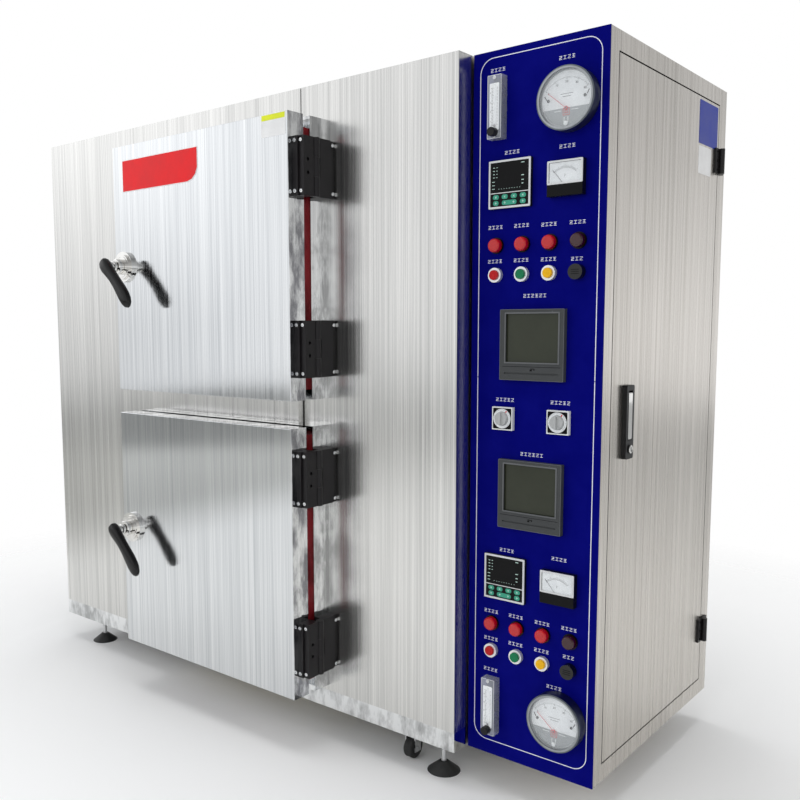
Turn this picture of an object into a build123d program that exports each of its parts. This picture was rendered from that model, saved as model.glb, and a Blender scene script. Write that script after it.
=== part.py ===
"""Stacked-chamber oven: two chambers one above the other, with a control cabinet at the right."""
import os
from math import cos, radians, sin

from build123d import *

os.makedirs("parts", exist_ok=True)

# Driving sizes of the body, in mm
body_width = 1510
body_height = 1485
body_depth = 705
foot_height = 84
sheet = 2
plinth_height = 44
plinth_wall = 3
seam_x = 1070
seam_gap = 3
panel_return = 20

# Chambers, door frames and doors
door_left = 492
door_width = 650
door_thickness = 50
lower_door_z = 57
door_space = 63
door_below_top = 81
frame_depth = 48
frame_rim = 60
seal_gap = 22
gasket_inset = 22
gasket_width = 16
liner_wall = 1.5
chamber_depth = 500
plug_depth = 30
plug_gap = 16
mullion_proud = 18
mullion_left = 434
mullion_overlap = 50
insulation_gap = 4
insulation_depth = 60
fit_gap = 0.3

# Block hinges of the chamber doors
hinge_height = 130
hinge_proud = 28
hinge_inset = 118
door_block_depth = 38
frame_block_depth = 45
recess_depth = 21
barrel_radius = 9
pin_radius = 4
running_gap = 0.05
hinge_bolt_radius = 4
hinge_step = 5

# Door handles
handle_inset = 42
handle_above_middle = 7
boss_radius = 40
boss_thickness = 14
hub_radius = 20
hub_length = 18
spindle_radius = 9
lever_stand = 52
lever_length = 146
lever_width = 26
lever_thickness = 20
lever_slope = 48
lever_tip_width = 30

# Shelves, air circulation and heating
shelf_gap = 8
shelf_rod = 3
shelf_pitch = 35
shelf_depth = 370
runner_height = 14
runner_width = 10
shelf_level = 0.42
baffle_from_back = 90
baffle_holes = 5
fan_radius = 95
fan_width = 40
fan_blades = 12
fan_shaft_radius = 8
motor_radius = 62
motor_length = 120
heater_rod = 5
heater_radius = 130

# Feet and wheels
foot_pad_radius = 38
foot_pad_height = 22
foot_stem_radius = 6
foot_nut_radius = 11
foot_left = 110
foot_right = 67
foot_front = 60
wheel_radius = 25
wheel_width = 22
wheel_lift = 3
caster_step = 88
fork_plate = 3

# Control cabinet
cabinet_gap = 4
cabinet_width = 296
cabinet_setback = 50
panel_thickness = 3
panel_split = 824
panel_rim = 14
spacer_radius = 14
side_door_front = 43
side_door_back = 606
side_door_bottom = 40
side_door_below_top = 41
side_door_depth = 18
side_gap = 3
side_hinge_height = 58
side_hinge_out = 9
side_hinge_radius = 7
side_hinge_inset_low = 130
side_hinge_inset_high = 128
side_leaf_width = 27
lock_front = 96
lock_width = 36
lock_height = 150
lock_middle = 737
lock_proud = 10
swing_width = 18
swing_length = 92
gear_plate_from_left = 40
gear_plate_front = 140
gear_plate_back = 60
gear_plate_low = 140
gear_plate_high = 160
gear_rows = 4
gear_units = 6
gear_row_inset = 120
gear_unit_inset = 45
gear_unit_width = 52
gear_unit_height = 84
gear_unit_depth = 66
gear_rail_depth = 10
gear_rail_height = 34
gear_rail_inset = 20
gear_stud = 16

# Instruments on the control panel, from the cabinet's left edge and from the body's underside.
# The levels are those of a body as high as layout_height, and follow the body's height
layout_height = 1485
column_first = 59
column_pitch = 61
upper_lamp_z = 1095.5
lower_lamp_z = 296
button_drop = 60
lamp_radius = 14
lamp_proud = 16
ring_radius = 15
ring_proud = 9
cap_radius = 10
cap_proud = 5
cap_play = 0.4
button_travel = 4
button_case_depth = 30
lamp_case_depth = 25
lamp_dome = 5
buzzer_radius = 15
hole_radius = 11
gauge_x = 219
upper_gauge_z = 1361
lower_gauge_z = 125
gauge_radius = 60
gauge_proud = 26
gauge_depth = 34
gauge_lip = 5
gauge_dial_behind_lip = 8
gauge_pivot_radius = 2
gauge_hub_radius = 4
pointer_rest = 50
pointer_length = 52
meter_x = 216
upper_meter_z = 1215
lower_meter_z = 403
meter_width = 75
meter_height = 68
meter_proud = 14
meter_case_depth = 30
meter_window_rim = 8
meter_window_deep = 2
control_x = 91.5
upper_control_z = 1217
lower_control_z = 401
control_size = 96
control_proud = 8
control_rim = 5
control_face_deep = 1.5
control_case_depth = 70
recorder_x = 148
upper_recorder_z = 893
lower_recorder_z = 583.5
recorder_size = 144
recorder_body = 136
recorder_lift = 2
recorder_proud = 12
recorder_case_depth = 60
screen_width = 120
screen_height = 100
screen_above_middle = 14
screen_deep = 5
flap_line_width = 122
flap_line_height = 3
flap_line_below_middle = 58
flap_line_deep = 2
setter_z = 740
left_setter_x = 82
right_setter_x = 208
setter_size = 48
setter_proud = 9
setter_case_depth = 50
knob_radius = 14
knob_base = 8
knob_grip = 5
flow_x = 62.5
upper_flow_z = 1369
lower_flow_z = 115
flow_width = 32
flow_height = 124
flow_proud = 22
flow_knob_radius = 9
flow_knob_length = 14
flow_knob_above_end = 12
flow_stem_radius = 3

# Sizes and places that follow from the ones above
door_height = (body_height - lower_door_z - door_space - door_below_top) / 2
upper_door_z = lower_door_z + door_height + door_space
cabinet_depth = body_depth - cabinet_setback
level_share = body_height / layout_height
side_reach = side_hinge_out + side_hinge_radius
overall_width = body_width + cabinet_gap + cabinet_width + side_reach
door_stand = frame_depth + seal_gap + door_thickness
reach = door_stand + lever_stand + lever_thickness
left = -overall_width / 2
front = -(reach + body_depth) / 2 + reach
back = front + body_depth
base = foot_height
top = base + body_height
right = left + body_width
middle_x = left + door_left + door_width / 2
door_right = left + door_left + door_width
seam = left + seam_x
frame_front = front - frame_depth
door_back = frame_front - seal_gap
door_front = door_back - door_thickness
opening_width = door_width - 2 * frame_rim
opening_height = door_height - 2 * frame_rim
pivot_x = door_right + hinge_proud - 4
pivot_y = front - frame_block_depth - recess_depth / 2
cabinet_left = right + cabinet_gap
cabinet_right = cabinet_left + cabinet_width
cabinet_front = front + cabinet_setback
cabinet_back = cabinet_front + cabinet_depth
levels = {"upper": base + upper_door_z, "lower": base + lower_door_z}


def block(x0, x1, y0, y1, z0, z1, mode=Mode.ADD):
    """A plain block between two corners."""
    with Locations(((x0 + x1) / 2, (y0 + y1) / 2, (z0 + z1) / 2)):
        Box(x1 - x0, y1 - y0, z1 - z0, mode=mode)


def round_y(x, z, radius, y0, y1, mode=Mode.ADD):
    """A round bar along Y."""
    with Locations((x, (y0 + y1) / 2, z)):
        Cylinder(radius, y1 - y0, rotation=(90, 0, 0), mode=mode)


def round_z(x, y, radius, z0, z1, mode=Mode.ADD):
    """A round bar along Z."""
    with Locations((x, y, (z0 + z1) / 2)):
        Cylinder(radius, z1 - z0, mode=mode)


def keep(builder, name):
    """Label a finished piece and write it."""
    builder.part.label = name
    export_step(builder.part, f"parts/{name}.step")


def opening(z, extra, y0, y1, mode=Mode.SUBTRACT):
    """The chamber's mouth, grown by extra on each side."""
    half = opening_width / 2 + extra
    z_low = z + frame_rim - extra
    z_high = z + door_height - frame_rim + extra
    block(middle_x - half, middle_x + half, y0, y1, z_low, z_high, mode)


# Base frame: an inward-facing channel all round, with two cross rails
with BuildPart() as base_frame:
    block(left, right, front, back, base, base + plinth_height)
    inner = plinth_height
    block(left + inner, right - inner, front + inner, back - inner,
          base, base + plinth_height, Mode.SUBTRACT)
    block(left + plinth_wall, right - plinth_wall, front + plinth_wall, back - plinth_wall,
          base + plinth_wall, base + plinth_height - plinth_wall, Mode.SUBTRACT)
    for rail_x in (left + body_width / 3, left + 2 * body_width / 3):
        block(rail_x - inner / 2, rail_x + inner / 2, front + plinth_wall, back - plinth_wall,
              base, base + plinth_height)
    plate_left = foot_left + foot_pad_radius
    plate_right = foot_right + caster_step + foot_pad_radius
    plate_deep = foot_front + caster_step + wheel_radius
    for y0, y1 in ((front, front + plate_deep), (back - plate_deep, back)):
        block(left, left + plate_left, y0, y1, base, base + plinth_wall)
        block(right - plate_right, right, y0, y1, base, base + plinth_wall)
keep(base_frame, "base_frame")

# Outer sheets: two sides, top and back
skirt = base + plinth_height
with BuildPart() as outer_panels:
    side_back = back - sheet - fit_gap
    side_top = top - sheet - fit_gap
    block(left, left + sheet, front + sheet + fit_gap, side_back, skirt, side_top)
    block(right - sheet, right, front + sheet + fit_gap, side_back, skirt, side_top)
    block(left, right, front + sheet + fit_gap, back, top - sheet, top)
    block(left, right, back - sheet, back, skirt, side_top)
keep(outer_panels, "outer_panels")

# Front panels: folded sheets, cut out for the two chambers
front_spans = {
    "left_front_panel": (left, seam - seam_gap / 2),
    "right_front_panel": (seam + seam_gap / 2, right),
}
for name, (x0, x1) in front_spans.items():
    with BuildPart() as front_panel:
        block(x0, x1, front, front + sheet, skirt, top)
        inner_x0 = x0 + sheet + fit_gap
        inner_x1 = x1 - sheet - fit_gap
        for fold in (inner_x0, inner_x1 - sheet):
            block(fold, fold + sheet, front, front + panel_return, skirt, top - sheet - fit_gap)
        for z in levels.values():
            opening(z, liner_wall + insulation_gap, front - 1, front + panel_return + 1)
    keep(front_panel, name)

# Cover plate between the two door frames
gap_low = base + lower_door_z + door_height
gap_high = base + upper_door_z
with BuildPart() as mullion_plate:
    block(left + mullion_left, seam - seam_gap / 2, front - mullion_proud, front,
          gap_low + fit_gap, gap_high - fit_gap)
    block(left + mullion_left, left + door_left - fit_gap, front - mullion_proud, front,
          gap_low - mullion_overlap, gap_high + mullion_overlap)
keep(mullion_plate, "mullion_plate")

# Chamber liners with shelf runners, the perforated air baffle and the plenum behind it
shelf_back = front + chamber_depth - baffle_from_back - shelf_gap
shelf_front = shelf_back - shelf_depth
shelf_half = opening_width / 2 - shelf_gap
for name, z in levels.items():
    liner_back = front + chamber_depth
    shelf_z = z + door_height * shelf_level
    with BuildPart() as liner:
        opening(z, liner_wall, frame_front + sheet, liner_back + liner_wall, Mode.ADD)
        opening(z, 0, frame_front, liner_back)
        middle_z = z + door_height / 2
        round_y(middle_x, middle_z, fan_shaft_radius + 2, liner_back - 1, liner_back + liner_wall + 1,
                Mode.SUBTRACT)
        baffle_y = liner_back - baffle_from_back
        opening(z, -fit_gap, baffle_y, baffle_y + sheet, Mode.ADD)
        hole_pitch = opening_height / (baffle_holes + 1)
        for row in range(baffle_holes):
            hole_z = middle_z + (row - (baffle_holes - 1) / 2) * hole_pitch
            for side in (-1, 1):
                hole_x = middle_x + side * (opening_width / 2 - hole_pitch / 2)
                round_y(hole_x, hole_z, hole_pitch / 4, baffle_y - 1, baffle_y + sheet + 1, Mode.SUBTRACT)
        round_y(middle_x, middle_z, fan_radius * 0.8, baffle_y - 1, baffle_y + sheet + 1, Mode.SUBTRACT)
        for side in (-1, 1):
            wall_x = middle_x + side * (opening_width / 2 + liner_wall / 2)
            x0, x1 = sorted((wall_x, wall_x - side * (shelf_gap + runner_width)))
            block(x0, x1, front, shelf_back, shelf_z - fit_gap - sheet, shelf_z - fit_gap)
            x0, x1 = sorted((wall_x, wall_x - side * (sheet + liner_wall / 2)))
            block(x0, x1, front, shelf_back, shelf_z - fit_gap - sheet, shelf_z + runner_height)
    keep(liner, f"{name}_liner")

# Insulation wool round each liner and behind it
with BuildPart() as insulation:
    for z in levels.values():
        wool_front = front + panel_return + fit_gap
        wool_back = front + chamber_depth + liner_wall
        opening(z, insulation_depth, wool_front, wool_back + insulation_depth, Mode.ADD)
        opening(z, liner_wall + fit_gap, wool_front - 1, wool_back)
        round_y(middle_x, z + door_height / 2, fan_shaft_radius + insulation_gap,
                wool_back - 1, wool_back + insulation_depth + 1, Mode.SUBTRACT)
keep(insulation, "insulation")

# Polished frames that stand out round the chamber mouths
with BuildPart() as door_frames:
    for z in levels.values():
        block(left + door_left, door_right, frame_front, front, z, z + door_height)
        opening(z, 0, frame_front - 1, front + 1)
        opening(z, liner_wall, frame_front + sheet, front + 1)
keep(door_frames, "door_frames")

# Silicone gaskets between frame and door
with BuildPart() as door_gaskets:
    for z in levels.values():
        outer = gasket_inset
        inner = gasket_inset + gasket_width
        y0 = door_back + fit_gap
        block(left + door_left + outer, door_right - outer, y0, frame_front,
              z + outer, z + door_height - outer)
        block(left + door_left + inner, door_right - inner, y0 - 1, frame_front + 1,
              z + inner, z + door_height - inner, Mode.SUBTRACT)
keep(door_gaskets, "door_gaskets")

hinge_levels = {}
handle_x = left + door_left + handle_inset
for name, z in levels.items():
    # Door: a thick panel with a stepped inner pan that enters the chamber mouth
    handle_z = z + door_height / 2 + handle_above_middle
    with BuildPart() as door:
        block(left + door_left, door_right, door_front, door_back, z, z + door_height)
        fillet(door.edges().group_by(Axis.Y)[0], radius=1.5)
        opening(z, -plug_gap, door_back, frame_front + plug_depth, Mode.ADD)
        round_y(handle_x, handle_z, spindle_radius + 1, door_front - 1, door_front + hub_length, Mode.SUBTRACT)
    keep(door, f"{name}_door")

    hinge_levels[name] = (z + hinge_inset, z + door_height - hinge_inset)
    third = hinge_height / 3
    block_front = pivot_y - recess_depth / 2 - door_block_depth
    block_back = pivot_y - recess_depth / 2

    # Door halves of the two block hinges
    with BuildPart() as door_leaves:
        for middle in hinge_levels[name]:
            low = middle - hinge_height / 2
            high = middle + hinge_height / 2
            block(door_right, door_right + hinge_proud, block_front, block_back, low, high)
            block(door_right + hinge_proud / 2, door_right + hinge_proud, block_front - 1,
                  block_front + hinge_step, low - 1, high + 1, Mode.SUBTRACT)
            block(pivot_x - barrel_radius, door_right + hinge_proud, block_back, pivot_y,
                  middle - third / 2 + fit_gap, middle + third / 2 - fit_gap)
            round_z(pivot_x, pivot_y, barrel_radius, middle - third / 2 + fit_gap,
                    middle + third / 2 - fit_gap)
            round_z(pivot_x, pivot_y, pin_radius + running_gap, low - 1, high + 1, Mode.SUBTRACT)
            for hole_z in (middle - third / 3, middle + third / 3):
                with Locations((door_right + hinge_proud, (block_front + block_back) / 2, hole_z)):
                    Cylinder(hinge_bolt_radius, hinge_step * 2, rotation=(0, 90, 0), mode=Mode.SUBTRACT)
    keep(door_leaves, f"{name}_door_leaves")

    # Handle base: a stepped round boss with a bored hub
    boss_plane = Plane(origin=(handle_x, door_front, handle_z), x_dir=(1, 0, 0), z_dir=(0, -1, 0))
    with BuildPart() as handle_boss:
        with BuildSketch(boss_plane):
            Circle(boss_radius)
        extrude(amount=boss_thickness * 0.6)
        with BuildSketch(boss_plane.offset(boss_thickness * 0.6)):
            Circle(boss_radius * 0.82)
        extrude(amount=boss_thickness * 0.4)
        with BuildSketch(boss_plane.offset(boss_thickness)):
            Circle(hub_radius)
        extrude(amount=hub_length)
        chamfer(handle_boss.edges().filter_by(GeomType.CIRCLE).group_by(Axis.Y)[0], length=2)
        with BuildSketch(boss_plane):
            Circle(spindle_radius + running_gap)
        extrude(amount=boss_thickness + hub_length, mode=Mode.SUBTRACT)
    keep(handle_boss, f"{name}_handle_boss")

    # Lever handle: chrome spindle and a tapered arm that points down to the right
    tip_x = lever_length * cos(radians(lever_slope))
    tip_z = -lever_length * sin(radians(lever_slope))
    with BuildPart() as handle:
        with BuildSketch(boss_plane.offset(lever_stand)):
            Circle(lever_width / 2 + 2)
            with Locations((tip_x, tip_z)):
                Circle(lever_tip_width / 2)
            make_hull()
        extrude(amount=lever_thickness)
        fillet(handle.edges().group_by(Axis.Y)[0], radius=lever_thickness * 0.35)
        fillet(handle.edges().group_by(Axis.Y)[-1], radius=lever_thickness * 0.35)
        with BuildSketch(boss_plane.offset(fit_gap)):
            Circle(spindle_radius)
        extrude(amount=lever_stand)
    keep(handle, f"{name}_handle")

# Frame halves of all four block hinges, with their pins
with BuildPart() as frame_hinges:
    for middles in hinge_levels.values():
        for middle in middles:
            low = middle - hinge_height / 2
            high = middle + hinge_height / 2
            block(door_right, door_right + hinge_proud, front - frame_block_depth, front, low, high)
            for z0, z1 in ((low, middle - third / 2), (middle + third / 2, high)):
                block(pivot_x - barrel_radius, door_right + hinge_proud, pivot_y,
                      front - frame_block_depth, z0, z1)
                round_z(pivot_x, pivot_y, barrel_radius, z0, z1)
            block(door_right + hinge_proud - hinge_step, door_right + hinge_proud + 1,
                  front - hinge_step * 2, front + 1, low - 1, high + 1, Mode.SUBTRACT)
            round_z(pivot_x, pivot_y, pin_radius, middle - third / 2 - 1, middle + third / 2 + 1)
keep(frame_hinges, "frame_hinges")

# Shelves on the runners, one in each chamber
for name, z in levels.items():
    shelf_z = z + door_height * shelf_level
    with BuildPart() as shelf:
        for side in (-1, 1):
            rail_x = middle_x + side * (shelf_half - shelf_rod)
            block(rail_x - shelf_rod, rail_x + shelf_rod, shelf_front, shelf_back,
                  shelf_z, shelf_z + 2 * shelf_rod)
        for y in (shelf_front, shelf_back - 2 * shelf_rod):
            block(middle_x - shelf_half, middle_x + shelf_half, y, y + 2 * shelf_rod,
                  shelf_z, shelf_z + 2 * shelf_rod)
        rods = int(2 * shelf_half / shelf_pitch)
        for rod in range(rods):
            rod_x = middle_x + (rod - (rods - 1) / 2) * shelf_pitch
            round_y(rod_x, shelf_z + shelf_rod, shelf_rod * 0.8, shelf_front + shelf_rod,
                    shelf_back - shelf_rod)
    keep(shelf, f"{name}_shelf")

# Fan motors behind the insulation, fans and ring heaters in the plenum
motor_front = front + chamber_depth + liner_wall + insulation_depth
fan_back = front + chamber_depth - shelf_gap
fan_front = fan_back - fan_width
with BuildPart() as fan_motors:
    for z in levels.values():
        middle_z = z + door_height / 2
        round_y(middle_x, middle_z, motor_radius, motor_front, motor_front + motor_length)
        block(middle_x - motor_radius, middle_x + motor_radius, motor_front, motor_front + panel_return / 2,
              middle_z - motor_radius, middle_z + motor_radius)
        round_y(middle_x, middle_z, fan_shaft_radius + running_gap, motor_front - 1,
                motor_front + motor_length * 0.8, Mode.SUBTRACT)
keep(fan_motors, "fan_motors")
for name, z in levels.items():
    middle_z = z + door_height / 2
    with BuildPart() as fan:
        round_y(middle_x, middle_z, fan_radius, fan_back - sheet, fan_back)
        round_y(middle_x, middle_z, fan_shaft_radius * 2, fan_front, fan_back)
        round_y(middle_x, middle_z, fan_shaft_radius, fan_front, motor_front + motor_length * 0.8 - 1)
        with Locations(Location((middle_x, (fan_front + fan_back) / 2, middle_z), (90, 0, 0))):
            with PolarLocations(fan_radius * 0.7, fan_blades):
                Box(fan_radius * 0.5, sheet, fan_width)
    keep(fan, f"{name}_fan")
with BuildPart() as heaters:
    for z in levels.values():
        middle_z = z + door_height / 2
        ring_y = (fan_front + fan_back) / 2
        with Locations(Location((middle_x, ring_y, middle_z), (90, 0, 0))):
            Torus(heater_radius, heater_rod)
        for side in (-1, 1):
            round_y(middle_x + side * heater_radius, middle_z, heater_rod * 0.8, ring_y,
                    front + chamber_depth - fit_gap)
keep(heaters, "heaters")

# Levelling feet: cone pad, stem and lock nut
foot_places = [(left + foot_left, front + foot_front), (right - foot_right, front + foot_front),
               (left + foot_left, back - foot_front), (right - foot_right, back - foot_front)]
with BuildPart() as levelling_feet:
    for foot_x, foot_y in foot_places:
        with Locations((foot_x, foot_y, foot_pad_height / 2)):
            Cone(foot_pad_radius, foot_nut_radius, foot_pad_height)
        round_z(foot_x, foot_y, foot_stem_radius, foot_pad_height, base)
        with BuildSketch(Plane((foot_x, foot_y, base - 2 * foot_stem_radius))):
            RegularPolygon(foot_nut_radius, 6)
        extrude(amount=2 * foot_stem_radius)
keep(levelling_feet, "levelling_feet")

# Fixed casters beside the feet: forks with axles, and four wheels
caster_places = [(right - foot_right - caster_step, front + foot_front),
                 (right - foot_right - caster_step, back - foot_front),
                 (left + foot_left, front + foot_front + caster_step),
                 (left + foot_left, back - foot_front - caster_step)]
axle_z = wheel_radius + wheel_lift
cheek = wheel_width / 2 + 1
with BuildPart() as caster_forks:
    for caster_x, caster_y in caster_places:
        block(caster_x - cheek - fork_plate, caster_x + cheek + fork_plate,
              caster_y - wheel_radius * 0.7, caster_y + wheel_radius * 0.7, base - fork_plate, base)
        for side in (-1, 1):
            x0, x1 = sorted((caster_x + side * cheek, caster_x + side * (cheek + fork_plate)))
            block(x0, x1, caster_y - wheel_radius * 0.45, caster_y + wheel_radius * 0.45,
                  axle_z - pin_radius * 2, base - fork_plate)
        with Locations((caster_x, caster_y, axle_z)):
            Cylinder(pin_radius, 2 * (cheek + fork_plate) + 4, rotation=(0, 90, 0))
keep(caster_forks, "caster_forks")
for number, (caster_x, caster_y) in enumerate(caster_places, 1):
    with BuildPart() as caster_wheel:
        with Locations((caster_x, caster_y, axle_z)):
            Cylinder(wheel_radius, wheel_width, rotation=(0, 90, 0))
        fillet(caster_wheel.edges().filter_by(GeomType.CIRCLE), radius=3)
        with Locations((caster_x, caster_y, axle_z)):
            Cylinder(pin_radius + running_gap, wheel_width + 2, rotation=(0, 90, 0), mode=Mode.SUBTRACT)
    keep(caster_wheel, f"caster_wheel_{number}")

# Control cabinet shell, open at the front and with a doorway in its right side
door_y0 = cabinet_front + side_door_front
door_y1 = cabinet_front + side_door_back
door_z0 = base + side_door_bottom
door_z1 = top - side_door_below_top
with BuildPart() as cabinet_shell:
    block(cabinet_left, cabinet_right, cabinet_front + panel_thickness, cabinet_back, base, top)
    block(cabinet_left + sheet, cabinet_right - sheet, cabinet_front + panel_thickness + sheet,
          cabinet_back - sheet, base + sheet, top - sheet, Mode.SUBTRACT)
    block(cabinet_left + panel_rim, cabinet_right - panel_rim, cabinet_front, cabinet_front + panel_rim,
          base + panel_rim, top - panel_rim, Mode.SUBTRACT)
    block(cabinet_right - panel_rim, cabinet_right + 1, door_y0 - side_gap, door_y1 + side_gap,
          door_z0 - side_gap, door_z1 + side_gap, Mode.SUBTRACT)
    for spacer_y in (front + body_depth / 4, front + body_depth * 3 / 4):
        for spacer_z in (base + body_height / 8, base + body_height * 7 / 8):
            with Locations((cabinet_left - cabinet_gap / 2, spacer_y, spacer_z)):
                Cylinder(spacer_radius, cabinet_gap, rotation=(0, 90, 0))
keep(cabinet_shell, "cabinet_shell")

# Control panel in two halves, with its cutouts
columns = [cabinet_left + column_first + number * column_pitch for number in range(4)]


def heights(upper, lower):
    """The levels of an instrument's upper and lower copies."""
    return {"upper": base + upper * level_share, "lower": base + lower * level_share}


rows = heights(upper_lamp_z, lower_lamp_z)
gauges_at = heights(upper_gauge_z, lower_gauge_z)
meters_at = heights(upper_meter_z, lower_meter_z)
controls_at = heights(upper_control_z, lower_control_z)
recorders_at = heights(upper_recorder_z, lower_recorder_z)
flows_at = heights(upper_flow_z, lower_flow_z)
behind = cabinet_front + panel_thickness
split = base + panel_split * level_share
setter_level = base + setter_z * level_share
setters_at = {"left": cabinet_left + left_setter_x, "right": cabinet_left + right_setter_x}


def plate_y(x, z, width, height, y0, y1, mode=Mode.ADD):
    """A rectangular block of the panel, centred on x and z."""
    block(x - width / 2, x + width / 2, y0, y1, z - height / 2, z + height / 2, mode)


for name, (z0, z1) in {"upper": (split, top), "lower": (base, split)}.items():
    with BuildPart() as panel:
        block(cabinet_left, cabinet_right, cabinet_front, behind, z0, z1)
        cut = (cabinet_front - 1, behind + 1, Mode.SUBTRACT)
        round_y(cabinet_left + gauge_x, gauges_at[name], gauge_radius * 0.94, *cut)
        plate_y(cabinet_left + meter_x, meters_at[name], meter_width * 0.8, meter_height * 0.8, *cut)
        plate_y(cabinet_left + control_x, controls_at[name], control_size - 4, control_size - 4, *cut)
        plate_y(cabinet_left + recorder_x, recorders_at[name] + recorder_lift, recorder_body,
                recorder_body, *cut)
        for column in columns:
            round_y(column, rows[name], hole_radius, *cut)
            round_y(column, rows[name] - button_drop, hole_radius, *cut)
        if name == "lower":
            for setter_x in setters_at.values():
                plate_y(setter_x, setter_level, setter_size - 3, setter_size - 3, *cut)
    keep(panel, f"{name}_panel")


def square_unit(x, z, size, body, proud, depth, lift=0):
    """A square instrument: bezel in front of the panel, case behind it."""
    plate_y(x, z, size, size, cabinet_front - proud, cabinet_front)
    plate_y(x, z + lift, body, body, cabinet_front - 1, behind + depth)


with BuildPart() as recorders:
    for z in recorders_at.values():
        x = cabinet_left + recorder_x
        square_unit(x, z, recorder_size, recorder_body - 2 * fit_gap, recorder_proud,
                    recorder_case_depth, recorder_lift)
        recorder_face = cabinet_front - recorder_proud
        plate_y(x + 1, z + screen_above_middle, screen_width, screen_height, recorder_face - 1,
                recorder_face + screen_deep, Mode.SUBTRACT)
        plate_y(x, z - flap_line_below_middle, flap_line_width, flap_line_height, recorder_face - 1,
                recorder_face + flap_line_deep, Mode.SUBTRACT)
keep(recorders, "recorders")
with BuildPart() as controllers:
    for z in controls_at.values():
        x = cabinet_left + control_x
        square_unit(x, z, control_size, control_size - 4 - 2 * fit_gap, control_proud, control_case_depth)
        control_face = control_size - 2 * control_rim
        plate_y(x, z, control_face, control_face, cabinet_front - control_proud - 1,
                cabinet_front - control_proud + control_face_deep, Mode.SUBTRACT)
keep(controllers, "controllers")
with BuildPart() as setters:
    for x in setters_at.values():
        square_unit(x, setter_level, setter_size, setter_size - 3 - 2 * fit_gap, setter_proud,
                    setter_case_depth)
        round_y(x, setter_level, pin_radius + running_gap, cabinet_front - setter_proud - 1,
                cabinet_front, Mode.SUBTRACT)
keep(setters, "setters")
for name, x in setters_at.items():
    with BuildPart() as setter_knob:
        knob_back = cabinet_front - setter_proud - fit_gap
        round_y(x, setter_level, knob_radius, knob_back - knob_base, knob_back)
        fillet(setter_knob.edges().group_by(Axis.Y)[0], radius=1.5)
        plate_y(x, setter_level, knob_grip, knob_radius * 1.8, knob_back - knob_base - knob_grip,
                knob_back - knob_base)
        round_y(x, setter_level, pin_radius, knob_back - 1, cabinet_front - 1)
    keep(setter_knob, f"{name}_setter_knob")

# Ammeters and round pressure gauges with their pointers
with BuildPart() as ammeters:
    for z in meters_at.values():
        x = cabinet_left + meter_x
        plate_y(x, z, meter_width, meter_height, cabinet_front - meter_proud, cabinet_front)
        plate_y(x, z, meter_width * 0.8 - 1, meter_height * 0.8 - 1, cabinet_front - 1,
                behind + meter_case_depth)
        plate_y(x, z + meter_height * 0.12, meter_width - meter_window_rim, meter_height * 0.64,
                cabinet_front - meter_proud - 1, cabinet_front - meter_proud + meter_window_deep,
                Mode.SUBTRACT)
keep(ammeters, "ammeters")
dial_y = cabinet_front - gauge_proud + gauge_dial_behind_lip
with BuildPart() as gauges:
    for z in gauges_at.values():
        x = cabinet_left + gauge_x
        round_y(x, z, gauge_radius, cabinet_front - gauge_proud, cabinet_front)
        round_y(x, z, gauge_radius * 0.94 - fit_gap, cabinet_front - 1, behind + gauge_depth)
        round_y(x, z, gauge_radius - gauge_lip, cabinet_front - gauge_proud - 1, dial_y, Mode.SUBTRACT)
        round_y(x, z - gauge_radius * 0.3, gauge_pivot_radius, dial_y - 4, dial_y + 1)
keep(gauges, "gauges")
for name, z in gauges_at.items():
    with BuildPart() as pointer:
        x = cabinet_left + gauge_x
        pivot_z = z - gauge_radius * 0.3
        with Locations(Location((x, dial_y - 2.5, pivot_z), (0, -pointer_rest, 0))):
            with Locations((0, 0, pointer_length / 2)):
                Box(2, 1, pointer_length)
        round_y(x, pivot_z, gauge_hub_radius, dial_y - 3, dial_y - fit_gap)
        round_y(x, pivot_z, gauge_pivot_radius + running_gap, dial_y - 4, dial_y, Mode.SUBTRACT)
    keep(pointer, f"{name}_gauge_pointer")

# Flow meters: clear blocks with a tapered bore, and their valve knobs
with BuildPart() as flow_meters:
    for z in flows_at.values():
        x = cabinet_left + flow_x
        plate_y(x, z, flow_width, flow_height, cabinet_front - flow_proud, cabinet_front)
        round_y(x, z - flow_height / 2 + flow_knob_above_end, flow_stem_radius + running_gap,
                cabinet_front - flow_proud - 1, cabinet_front - 4, Mode.SUBTRACT)
keep(flow_meters, "flow_meters")
for name, z in flows_at.items():
    with BuildPart() as flow_knob:
        x = cabinet_left + flow_x
        knob_z = z - flow_height / 2 + flow_knob_above_end
        knob_back = cabinet_front - flow_proud - fit_gap
        round_y(x, knob_z, flow_knob_radius, knob_back - flow_knob_length, knob_back)
        fillet(flow_knob.edges().group_by(Axis.Y)[0], radius=1.5)
        round_y(x, knob_z, flow_stem_radius, knob_back - 1, knob_back + flow_knob_above_end)
    keep(flow_knob, f"{name}_flow_knob")

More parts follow.
